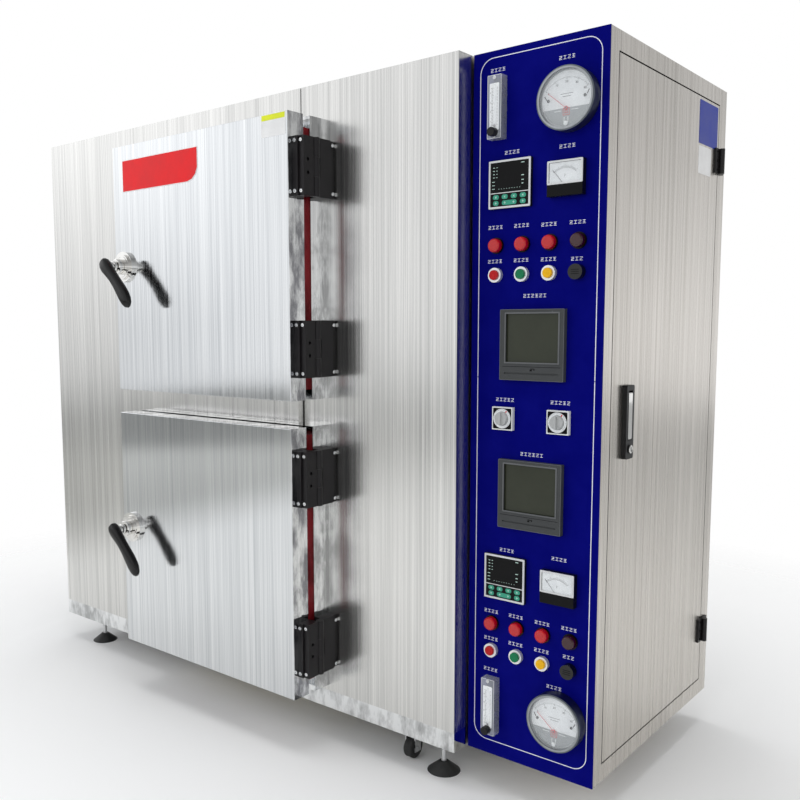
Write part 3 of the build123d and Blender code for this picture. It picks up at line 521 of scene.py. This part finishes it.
# Bare plates on the upper door: red with a cut corner and a white rim, white with a yellow band
door_low, door_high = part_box("upper_door")
red_outline = [(150, 39), (-150, 39), (-150, -39), (112, -39), (130, -34), (143, -23), (150, -8)]
centre = (door_low[0] + 0.194, door_low[1], door_low[2] + 0.563)
sign = bmesh.new()
outline_plate(sign, centre, [(x * 1.01, z * 1.05) for x, z in red_outline], 0.8, 0.2)
piece("door_plate_rim", sign, PLATE_WHITE, "upper_door", False)
sign = bmesh.new()
outline_plate(sign, centre, red_outline, 1.3, 0.2)
piece("door_plate", sign, PLATE_RED, "upper_door", False)
sign = bmesh.new()
corner = (door_low[0] + 0.606, door_low[1], door_low[2] + 0.6165)
outline_plate(sign, corner, rounded(76, 50, 2, 3), 0.5, 0.1)
piece("small_door_plate", sign, PLATE_WHITE, "upper_door", False)
sign = bmesh.new()
outline_plate(sign, (corner[0], corner[1] - 0.0005, corner[2] + 0.0175), rounded(73, 12, 1, 3), 0.2, 0.05)
piece("small_plate_band", sign, PLATE_YELLOW, "upper_door", False)

# Control panel: the printed border, cut at the seam, and the caption strokes
SEAM = 824
BORDER_LEFT, BORDER_RIGHT, BORDER_BEND, BORDER_HALF = 16.5, 281, 30, 0.8
QUARTER = [math.pi / 2 * step / 10 for step in range(11)]
border = bmesh.new()
for cut, far, way in ((SEAM + 1.0, 1471.0, 1), (SEAM - 1.0, 31.0, -1)):
    bend = way * BORDER_BEND
    middle = far - bend
    points = [(BORDER_LEFT, cut), (BORDER_LEFT, middle)]
    points += [(BORDER_LEFT + BORDER_BEND - BORDER_BEND * math.cos(turn), middle + bend * math.sin(turn))
               for turn in QUARTER[1:]]
    points += [(BORDER_RIGHT - BORDER_BEND + BORDER_BEND * math.sin(turn), middle + bend * math.cos(turn))
               for turn in QUARTER]
    points += [(BORDER_RIGHT, cut)]
    rings = []
    for index, (x, z) in enumerate(points):
        before = points[max(index - 1, 0)]
        after = points[min(index + 1, len(points) - 1)]
        dx, dz = after[0] - before[0], after[1] - before[1]
        size = math.hypot(dx, dz)
        nx, nz = -dz / size * BORDER_HALF, dx / size * BORDER_HALF
        low_side, high_side = at_panel(x - nx, z - nz), at_panel(x + nx, z + nz)
        rise = Vector((0, -0.0002, 0))
        rings.append([low_side, high_side, high_side + rise, low_side + rise])
    skin(border, rings)
piece("panel_border", border, PRINT_WHITE, "body", False)
CAPTIONS = ((57, 1446, 4), (209, 1443, 4), (213, 1277, 4), (92, 1280, 4), (55.5, 1133, 4), (116, 1133, 4),
            (177, 1131, 4), (238, 1131, 4), (55, 1064, 4), (116, 1064, 4), (177, 1063, 4), (238, 1061, 3),
            (148, 992, 6), (83, 779, 5), (209, 779, 5), (147, 669, 6), (92, 460, 4), (213, 461, 4),
            (56, 321, 4),
            (116, 321, 4), (177.5, 320, 4), (238, 321, 4), (56, 260, 4), (116, 261, 4), (177, 261, 4),
            (238, 262, 3), (56, 191, 4), (207, 190, 4))
captions = bmesh.new()
for x, z, count in CAPTIONS:
    for mark in range(count):
        across = (mark - (count - 1) / 2) * 9.0
        place = at_panel(x, z)
        dash(captions, place, across, 2.8, 6.2, 0.9)
        dash(captions, place, across, -3.2, 6.2, 0.9)
        dash(captions, place, across, -0.2, 6.8, 0.9, 90.0 if mark % 2 else 35.0, 0.14)
        if mark % 3 == 0:
            dash(captions, place, across, -0.2, 5.0, 0.9)
piece("caption_strokes", captions, PRINT_WHITE, "body", False)


# Instruments on the panel. Places are from the panel's left edge and lower end, in mm
LEVELS = ("upper", "lower")
GAUGE_AT = {"upper": (219, 1361), "lower": (219, 125)}
METER_AT = {"upper": (216, 1215), "lower": (216, 403)}
CONTROL_AT = {"upper": (91.5, 1217), "lower": (91.5, 401)}
RECORDER_AT = {"upper": (148, 893), "lower": (148, 583.5)}
FLOW_AT = {"upper": (62.5, 1369), "lower": (62.5, 115)}
SETTER_AT = {"left": (82, 740), "right": (208, 740)}
DIAL_WHITE = paint("dial white", (0.78, 0.80, 0.82), 0.4, 0.0, 1500.0, 0.02).done()
DIAL_GREY = paint("dial grey", (0.30, 0.32, 0.33), 0.4, 0.3, 1500.0, 0.03).done()
FACE_BLACK = paint("face black", (0.0015, 0.0015, 0.002), 0.14, 0.0, 1500.0, 0.02, 0.05, 0.15).done()
SCREEN = paint("dead screen", (0.028, 0.032, 0.02), 0.12, 0.0, 1500.0, 0.02, 0.06).done()
KEY_GREEN = paint("green keys", (0.04, 0.30, 0.20), 0.4, 0.0, 1200.0, 0.05).done()
KEY_MARK = paint("key marks", (0.55, 0.75, 0.68), 0.45, 0.0, 1200.0, 0.03).done()
SILVER = paint("silver bezel", (0.62, 0.63, 0.64), 0.3, 0.4, 1200.0, 0.05).done()
# Grey of the recorder's screen frame and outer rim: painted highlight on their lit edges
EDGE_HIGHLIGHT_GREY = paint("recorder edge painted highlight", (0.11, 0.115, 0.12), 0.35, 0.0, 1200.0, 0.08).done()
RIM_GREY = mirror("lip metal", (0.42, 0.44, 0.46), 0.28, 0.1).done()
COVER = clear("clear cover", (0.9, 0.93, 0.95), 0.03, 0.12).done()
FLOAT = mirror("float steel", (0.7, 0.7, 0.72), 0.15, 0.1).done()
BODY = "body"
WINDOW_PROFILE = ((0.5, 0.6), (30, 0.5), (54.2, 0.0), (54.2, 0.5), (30, 1.1), (0.5, 1.3))
FLOAT_PROFILE = ((0.5, 0.0), (2.0, 3.0), (2.0, 5.0), (0.5, 6.0))
BARREL_PROFILE = ((8.6, 0.0), (8.6, 1.4), (7.4, 2.4), (5.8, 2.4), (5.8, 1.6), (0.5, 1.6))


def on_circle(radius, degrees):
    """A point at an angle round the middle, in mm."""
    return radius * math.cos(math.radians(degrees)), radius * math.sin(math.radians(degrees))


def circle(radius, count):
    """Points of a circle round its middle, in mm."""
    turns = [2 * math.pi * step / count for step in range(count)]
    return [(radius * math.cos(turn), radius * math.sin(turn)) for turn in turns]


def bezel(shape, centre, width, height, wall, thick, edge=0.4):
    """A square frame of four mitred bars."""
    outer = rounded(width, height, 2.0, 3)
    inner = rounded(width - 2 * wall, height - 2 * wall, 1.0, 3)
    rings = []
    for points, ahead in ((outer, 0.0), (outer, thick - edge),
                          (rounded(width - 2 * edge, height - 2 * edge, 1.8, 3), thick),
                          (inner, thick), (inner, 0.0)):
        rings.append([(centre[0] + x * MM, centre[1] - ahead * MM, centre[2] + z * MM) for x, z in points])
    skin(shape, rings, caps=False)


for name in LEVELS:
    # Recorder: grey frames as painted highlight on its lit edges, screen, printer flap with its latch
    x, z = RECORDER_AT[name]
    front = at_panel(x, z) + Vector((0, -0.012, 0))
    shape = bmesh.new()
    bezel(shape, front + Vector((0.001, 0, 0.014)), 124, 104, 3.0, 1.2, 0.6)
    piece(f"{name}_screen_frame", shape, EDGE_HIGHLIGHT_GREY, BODY, False)
    shape = bmesh.new()
    outline_plate(shape, front + Vector((0.001, 0.0049, 0.014)), rounded(119, 99, 1, 3), 0.8, 0.3)
    piece(f"{name}_screen", shape, SCREEN, BODY, False)
    shape = bmesh.new()
    dash(shape, front, 0, -44, 132, 0.8, 0, 0.2)
    dash(shape, front, 4, -48, 9, 1.6, 0, 0.35)
    dash(shape, front, 0.5, -51, 5, 3, 0, 0.35)
    dash(shape, front, 8, -50, 3, 1.6, 55, 0.35)
    piece(f"{name}_flap_lines", shape, FACE_BLACK, BODY, False)
    shape = bmesh.new()
    dash(shape, front, 46, 67, 1.8, 1.8, 0, 0.3)
    bezel(shape, front, 144, 144, 1.0, 0.3, 0.1)
    piece(f"{name}_recorder_rim", shape, EDGE_HIGHLIGHT_GREY, BODY, False)

    # Controller: silver bezel, black face, display ticks, two rows of green keys
    x, z = CONTROL_AT[name]
    front = at_panel(x, z) + Vector((0, -0.008, 0))
    shape = bmesh.new()
    bezel(shape, front, 96, 96, 4.0, 1.4)
    dash(shape, front, 0, -17, 88, 1.6, 0, 0.5)
    piece(f"{name}_controller_bezel", shape, SILVER, BODY, False)
    shape = bmesh.new()
    outline_plate(shape, front + Vector((0, 0.0012, 0)), rounded(87, 87, 2, 3), 1.4, 0.2)
    piece(f"{name}_controller_face", shape, FACE_BLACK, BODY, False)
    keys = bmesh.new()
    signs = bmesh.new()
    for across, up, wide in ((-31, -25, 14), (-10.5, -25, 14), (10.5, -25, 14), (31, -25, 14),
                             (-31, -37, 13), (0, -37, 34), (31, -37, 13)):
        spot = front + Vector((across * MM, 0, up * MM))
        outline_plate(keys, spot, rounded(wide, 9.5, 4.6, 6), 0.7, 0.2)
        marks = (-10, 10) if wide > 20 else (0,)
        for mark in marks:
            dash(signs, spot + Vector((mark * MM, -0.0007, 0)), 0, 0, 4.6, 1.0, 40 if up > -30 else 0, 0.15)
            dash(signs, spot + Vector((mark * MM, -0.0007, 0)), 0, 0, 4.6, 1.0, -50 if up > -30 else 90, 0.15)
    piece(f"{name}_keys", keys, KEY_GREEN, BODY, False)
    front = front + Vector((0, -0.0005, 0))
    for row in range(4):
        dash(signs, front, -36, 34 - row * 6.5, 4, 1.2)
        dash(signs, front, -29, 34 - row * 6.5, 2.4, 1.2)
    for row, up in enumerate((39, 14, 5, -2)):
        dash(signs, front, 30, up, 7 - row, 1.4)
    for tick in range(9):
        dash(signs, front, -24 + tick * 6, -9, 1.0, 1.4)
    for row, up in enumerate((6, -1, -8)):
        dash(signs, front, -37, up, 6, 1.1)
    piece(f"{name}_controller_marks", signs, KEY_MARK, BODY, False)

    # Ammeter: white scale plate behind a clear cover, pointer, and a black lower cover
    x, z = METER_AT[name]
    front = at_panel(x, z) + Vector((0, -0.014, 0))
    shape = bmesh.new()
    outline_plate(shape, front + Vector((0, 0.0015, 0.0082)), rounded(66, 43, 1, 3), 0.6, 0.1)
    piece(f"{name}_meter_scale", shape, DIAL_WHITE, BODY, False)
    shape = bmesh.new()
    pivot = front + Vector((0, 0.0008, -0.0145))
    for tick in range(21):
        turn = 132 - tick * 4.2
        radius = 36.5 if tick % 5 == 0 else 35.5
        spot = on_circle(radius, turn)
        dash(shape, pivot, spot[0], spot[1], 5.0 if tick % 5 == 0 else 3.0, 0.5, turn)
    for step in range(20):
        turn = 130 - step * 4.2
        spot = on_circle(33.4, turn)
        dash(shape, pivot, spot[0], spot[1], 0.4, 2.6, turn)
    dash(shape, pivot, -14.4, 17.2, 38, 0.6, 130, 0.5)
    dash(shape, pivot, 0, 19, 0.9, 5.0)
    piece(f"{name}_meter_ticks", shape, PRINT_BLACK, BODY, False)
    shape = bmesh.new()
    slab(shape, front + Vector((-0.0375, -0.0012, -0.034)), front + Vector((0.0375, 0.001, -0.0115)), 0.0008)
    piece(f"{name}_meter_lower_cover", shape, FACE_BLACK, BODY, False)
    shape = bmesh.new()
    slab(shape, front + Vector((-0.0372, -0.001, -0.0112)), front + Vector((0.0372, -0.0002, 0.0337)), 0.0003)
    piece(f"{name}_meter_cover", shape, COVER, BODY, False)
    shape = bmesh.new()
    bezel(shape, front + Vector((0, 0, 0.0112)), 75, 45.5, 3.6, 1.1, 0.4)
    piece(f"{name}_meter_rim", shape, SILVER, BODY, False)

    # Round pressure gauge: bright lip, white dial with a scale, grey lower part, zero screws, clear disc
    x, z = GAUGE_AT[name]
    centre = at_panel(x, z)
    dial = centre + Vector((0, -0.0181, 0))
    shape = bmesh.new()
    flat_ring(shape, centre + Vector((0, -0.026, 0)), 54.0, 57.5, 1.2, 64)
    flat_ring(shape, centre + Vector((0, -0.0195, 0)), 51.5, 54.6, 1.6, 64)
    piece(f"{name}_gauge_lip", shape, RIM_GREY, BODY)
    shape = bmesh.new()
    outline_plate(shape, dial, circle(53.5, 64), 0.4, 0.1)
    piece(f"{name}_gauge_dial", shape, DIAL_WHITE, BODY, False)
    shape = bmesh.new()
    chord = [on_circle(51, angle) for angle in range(200, 341, 7)]
    outline_plate(shape, dial + Vector((0, -0.0005, 0)), chord, 0.3, 0.0)
    piece(f"{name}_gauge_lower_dial", shape, DIAL_GREY, BODY, False)
    shape = bmesh.new()
    scale = dial + Vector((0, -0.0004, -0.018))
    for tick in range(41):
        turn = 140 - tick * 2.5
        long_tick = tick % 10 == 0
        radius = 57.5 if long_tick else 58.5
        spot = on_circle(radius, turn)
        length, width = (5.0, 0.7) if long_tick else (2.6, 0.4)
        dash(shape, scale, spot[0] * 0.97, spot[1] * 0.97, length, width, turn)
    for side in (-1, 1):
        outline_plate(shape, dial + Vector((side * 0.038, -0.0005, -0.0)), circle(3, 12), 2.0, 0.4)
        dash(shape, dial, side * 44, 6, 9, 1.8, side * 60, 0.6)
    for row, wide in enumerate((26, 18)):
        dash(shape, dial, 0, 9 - row * 5, wide, 0.8, 0, 0.5)
    piece(f"{name}_gauge_scale", shape, PRINT_BLACK, BODY, False)
    for index in range(5):
        turn = math.radians(140 - index * 25)
        spot = scale + Vector((49.0 * MM * math.cos(turn), -0.0006, 49.0 * MM * math.sin(turn)))
        numeral(f"{name}_gauge_number_{index}", str(index * 10), spot, 6.0, PRINT_BLACK)
    shape = bmesh.new()
    low_dial = dial + Vector((0, -0.0009, -0.024))
    for up, across, length, turn in ((6.5, 0, 13, 0), (-6.5, 0, 13, 0), (0, -6.5, 13, 90), (0, 6.5, 13, 90),
                                     (2.2, 0, 8, 0), (-2.2, 0, 8, 0), (0, -2.2, 8, 90), (0, 2.2, 8, 90)):
        dash(shape, low_dial, across, up, length, 0.9, turn)
    piece(f"{name}_gauge_range_mark", shape, PRINT_RED, BODY, False)
    shape = bmesh.new()
    pointer_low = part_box(f"{name}_gauge_pointer")[0]
    pivot = Vector((centre[0], pointer_low[1], scale[2]))
    dash(shape, pivot, -19.0, 15.9, 49.0, 0.8, 140, 0.5)
    turned_shape(shape, pivot + Vector((0, 0.0015, 0)), ((3.6, 0.0), (3.6, 1.6), (2.6, 2.2), (0.5, 2.3)), 24)
    needle = piece(f"{name}_gauge_needle", shape, PRINT_RED, f"{name}_gauge_pointer")
    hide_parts(f"{name}_gauge_pointer")
    shape = bmesh.new()
    for side in (-1, 1):
        dash(shape, low_dial, side * 18, 2, 14, 1.2)
    for side in (-1, 1):
        dash(shape, low_dial, side * 4, -16, 1.2, 12, 0, 0.6)
    turned_shape(shape, low_dial + Vector((0, 0, -0.022)), ((0.6, 0), (4.4, 0.2), (4.4, 2.0), (2.0, 2.4)), 20)
    piece(f"{name}_gauge_zero_screw", shape, DIAL_WHITE, BODY, False)
    shape = bmesh.new()
    turned_shape(shape, centre + Vector((0, -0.0255, 0)), WINDOW_PROFILE, 64)
    piece(f"{name}_gauge_window", shape, COVER, BODY)

    # Flow meter: bored tube, scale, float and end plugs in the clear block
    x, z = FLOW_AT[name]
    front = at_panel(x, z) + Vector((0, -0.022, 0))
    shape = bmesh.new()
    outline_plate(shape, front, rounded(22, 92, 2, 3), 0.3, 0.05)
    piece(f"{name}_flow_scale_plate", shape, DIAL_WHITE, BODY, False)
    shape = bmesh.new()
    for tick in range(26):
        printed = front + Vector((0, -0.0003, 0))
        dash(shape, printed, -4.5, -36 + tick * 2.9, 6.0 if tick % 5 == 0 else 3.4, 0.5)
        dash(shape, printed, 7.0, -36 + tick * 2.9, 3.0, 0.4)
    piece(f"{name}_flow_scale", shape, PRINT_BLACK, BODY, False)
    for index in range(4):
        numeral(f"{name}_flow_number_{index}", str(index + 1),
                front + Vector((-0.0085, -0.0005, -0.028 + index * 0.0185)), 4.0, PRINT_BLACK)
    shape = bmesh.new()
    tube = front + Vector((0.0015, 0, -0.044))
    turned_shape(shape, tube, ((2.6, 0), (2.6, 88.0)), 20, "z")
    piece(f"{name}_flow_tube", shape, COVER, BODY)
    shape = bmesh.new()
    turned_shape(shape, tube + Vector((0, -0.0018, 0.004)), FLOAT_PROFILE, 18, "z")
    piece(f"{name}_flow_float", shape, FLOAT, BODY)
    shape = bmesh.new()
    for up in (-57.0, 57.0):
        cap_screw(shape, front + Vector((0.0, 0, up * MM)), (0, -1, 0), 3.6, 1.6)
    bezel(shape, front, 32, 124, 1.0, 0.4, 0.1)
    piece(f"{name}_flow_edges", shape, SILVER, BODY, False)

    # Lamps and buttons: dark collars behind the lenses and lines round the caps
    shape = bmesh.new()
    lamp_z = {"upper": 1095.5, "lower": 296}[name]
    for column in range(4):
        spot = at_panel(59 + 61 * column, lamp_z)
        flat_ring(shape, spot, 13.9, 16.5, 3.0, 32)
    spot = at_panel(242, lamp_z - 60)
    for slot_line in (-4, 0, 4):
        dash(shape, spot + Vector((0, -0.016, 0)), 0, slot_line, 16, 1.2, 0, 0.3)
    piece(f"{name}_lamp_collars", shape, FACE_BLACK, BODY)

# Setters: black corner plate, white scale ring with ticks and a red mark
for side in ("left", "right"):
    x, z = SETTER_AT[side]
    front = at_panel(x, z) + Vector((0, -0.009, 0))
    shape = bmesh.new()
    bezel(shape, front, 43, 43, 20.0, 0.4, 0.1)
    piece(f"{side}_setter_face", shape, FACE_BLACK, BODY, False)
    shape = bmesh.new()
    flat_ring(shape, front + Vector((0, -0.0004, 0)), 14.6, 20.5, 0.4, 40)
    piece(f"{side}_setter_scale_ring", shape, DIAL_WHITE, BODY, False)
    shape = bmesh.new()
    for tick in range(31):
        turn = 225 - tick * 9
        across, up = on_circle(18.6, turn)
        dash(shape, front + Vector((0, -0.0008, 0)), across, up, 2.6 if tick % 5 == 0 else 1.5, 0.4, turn)
    piece(f"{side}_setter_ticks", shape, PRINT_BLACK, BODY, False)
    shape = bmesh.new()
    dash(shape, front + Vector((0, -0.0008, 0)), 9.5, 14.5, 4.5, 2.0, 57, 0.3)
    piece(f"{side}_setter_red_mark", shape, PRINT_RED, BODY, False)
paint("knob grey", (0.42, 0.43, 0.43), 0.25, 0.0, 900.0, 0.05).done("left_setter_knob", "right_setter_knob")


# Plates on the cabinet's side door, bare
side_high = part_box("side_door")[1]


def at_side(y, z):
    """A place on the side door's outer face, from the cabinet's front and lower end in mm."""
    return Vector((side_high[0], FACE + y * MM, BASE + z * MM))


sign = bmesh.new()
outline_plate(sign, at_side(537, 1390), rounded(120, 96, 2, 3), 0.6, 0.1, True)
piece("blue_side_plate", sign, PLATE_BLUE, "side_door", False)
sign = bmesh.new()
outline_plate(sign, at_side(518, 1306), rounded(82, 62, 6, 5), 0.5, 0.1, True)
piece("white_side_plate", sign, PLATE_WHITE, "side_door", False)
shape = bmesh.new()
for middle in (1316, 170):
    for dz in (-21, 0, 21):
        for dy in (-17.5, 19.5):
            cap_screw(shape, at_side(607 + dy, middle + dz) + Vector((0.0049, 0, 0)), (1, 0, 0), 2.8, 1.4)
piece("side_hinge_screws", shape, MOULDING, BODY)

# Key lock under the swing lever: chrome barrel with a slot
lock_low, lock_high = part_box("lock_plate")
shape = bmesh.new()
lock_centre = Vector((lock_high[0], (lock_low[1] + lock_high[1]) / 2, lock_low[2] + 0.020))
turned_shape(shape, lock_centre, BARREL_PROFILE, 32, "x")
piece("lock_barrel_rim", shape, CHROME, "side_door")
shape = bmesh.new()
slab(shape, lock_centre + Vector((0.0016, -0.0006, -0.004)), lock_centre + Vector((0.0020, 0.0006, 0.004)))
piece("lock_key_slot", shape, FACE_BLACK, "side_door", False)

# Stage: pale floor, soft light and a white background
floor_shape = bmesh.new()
FLOOR_HALF = 9.0
for corner in ((-1, -1), (1, -1), (1, 1), (-1, 1)):
    floor_shape.verts.new((corner[0] * FLOOR_HALF, corner[1] * FLOOR_HALF, -0.0002))
floor_shape.faces.new(floor_shape.verts[:])
floor_mesh = bpy.data.meshes.new("floor")
floor_shape.to_mesh(floor_mesh)
floor_shape.free()
floor_thing = bpy.data.objects.new("floor", floor_mesh)
bpy.context.scene.collection.objects.link(floor_thing)
floor_finish = Finish("pale floor")
grain = floor_finish.noise(4.0, (1.0, 1.0, 1.0), 3.0)
far = floor_finish.node("ShaderNodeVectorMath", {"operation": "LENGTH"}, {0: floor_finish.place()}, 1)
# Mirrored rays see a dimmer copy of the floor, darkest far to the left: painted shade in reflections; camera
# and other rays see it near white
mirrored = floor_finish.node("ShaderNodeLightPath", {}, {}, "Is Glossy Ray")
left_reflection_shade_share = floor_finish.along(floor_finish.place(), 0).spread(-2.4, -1.7)
reflected_floor_shade = floor_finish.mixed(left_reflection_shade_share, (0.46, 0.46, 0.44), (0.86, 0.86, 0.85))
floor_finish.put("Base Color", floor_finish.mixed(mirrored, (0.95, 0.95, 0.95), reflected_floor_shade))
floor_finish.put("Roughness", 0.6 + grain * 0.1)
floor_finish.put("Alpha", 1.0 - far.spread(1.1, 2.4) * (1.0 - mirrored))
floor_finish.surface.inputs["Specular IOR Level"].default_value = 0.1
floor_mesh.materials.append(floor_finish.done())

scene = bpy.context.scene
scene.view_settings.view_transform = "Standard"
world = bpy.data.worlds.new("studio")
scene.world = world
world.use_nodes = True
tree = world.node_tree
tree.nodes.clear()


class Surroundings(Finish):
    """The node tree of the world, used like a finish."""

    def __init__(self, tree):
        self.tree = tree


studio = Surroundings(tree)
toward = studio.node("ShaderNodeTexCoord", {}, {}, "Generated")
to_right = studio.along(toward, 0)
to_top = studio.along(toward, 2)
level_light = to_right.spread(-0.9, -0.76, 0.72, 1.02)
rise_share = to_right.spread(-0.9, -0.6, 0.75, -0.1) + to_right.spread(0.0, 0.4, 0.0, -0.35)
mirrored_strength = level_light + to_top.spread(0.0, 0.2) * rise_share - to_top.spread(0.35, 0.9) * 0.4


def background(color, strength):
    return studio.node("ShaderNodeBackground", {}, {"Color": color, "Strength": strength})


camera_ray = studio.node("ShaderNodeLightPath", {}, {}, "Is Camera Ray")
glossy_ray = studio.node("ShaderNodeLightPath", {}, {}, "Is Glossy Ray")
clear_ray = studio.node("ShaderNodeLightPath", {}, {}, "Is Transmission Ray")
mirrored_light = background((0.98, 0.99, 1.0), mirrored_strength)
around = studio.node("ShaderNodeMixShader", {}, {0: glossy_ray, 1: background((0.96, 0.98, 1.0), 0.55),
                                                 2: mirrored_light})
shown = studio.node("ShaderNodeMixShader", {}, {0: camera_ray.combine("MAXIMUM", camera_ray, clear_ray),
                                                1: around, 2: background((1.0, 1.0, 1.0), 1.0)})
studio.join(tree.nodes.new("ShaderNodeOutputWorld").inputs[0], shown)


def soft_light(name, place, target, size, power, tint=(1.0, 1.0, 1.0)):
    """A large square lamp that looks at a place."""
    lamp = bpy.data.lights.new(name, "AREA")
    lamp.shape = "RECTANGLE"
    lamp.size, lamp.size_y = size
    lamp.energy = power
    lamp.color = tint
    thing = bpy.data.objects.new(name, lamp)
    thing.location = place
    thing.rotation_euler = (Vector(target) - Vector(place)).to_track_quat("-Z", "Y").to_euler()
    scene.collection.objects.link(thing)
    thing.visible_glossy = False


soft_light("left panel light", (-4.0, -3.4, 2.0), (0.0, 0.0, 0.8), (3.0, 3.4), 60)
soft_light("front light", (0.4, -5.0, 2.6), (0.0, 0.0, 0.8), (3.0, 2.2), 40)
soft_light("right light", (4.8, -0.4, 2.2), (0.6, 0.0, 0.8), (1.4, 3.0), 30, (1.0, 0.96, 0.9))
soft_light("top light", (0.0, 0.0, 4.4), (0.0, 0.0, 0.0), (3.0, 3.0), 90)

# Camera, placed as the photograph's perspective says
camera_data = bpy.data.cameras.new("camera")
camera = bpy.data.objects.new("camera", camera_data)
scene.collection.objects.link(camera)
CAMERA_PLACE = (1.6325, -1.8163, 1.0240)
CAMERA_ANGLES = (40.262, -6.055, -0.282)
FOCAL, MIDDLE, PIXELS = 888.537, (352.852, 416.747), 800.0
SENSOR = 36.0
turn, rise, tilt = (math.radians(angle) for angle in CAMERA_ANGLES)
ahead = Vector((-math.sin(turn) * math.cos(rise), math.cos(turn) * math.cos(rise), math.sin(rise)))
across = Vector((math.cos(turn), math.sin(turn), 0.0))
upward = across.cross(ahead)
level_across = across * math.cos(tilt) + upward * math.sin(tilt)
level_up = upward * math.cos(tilt) - across * math.sin(tilt)
camera.matrix_world = Matrix((level_across, level_up, -ahead)).transposed().to_4x4()
camera.location = CAMERA_PLACE
camera_data.sensor_width = SENSOR
camera_data.lens = FOCAL / PIXELS * SENSOR
camera_data.shift_x = (PIXELS / 2 - MIDDLE[0]) / PIXELS
camera_data.shift_y = (MIDDLE[1] - PIXELS / 2) / PIXELS
camera_data.clip_start = 0.05
camera_data.clip_end = 60.0
scene.camera = camera
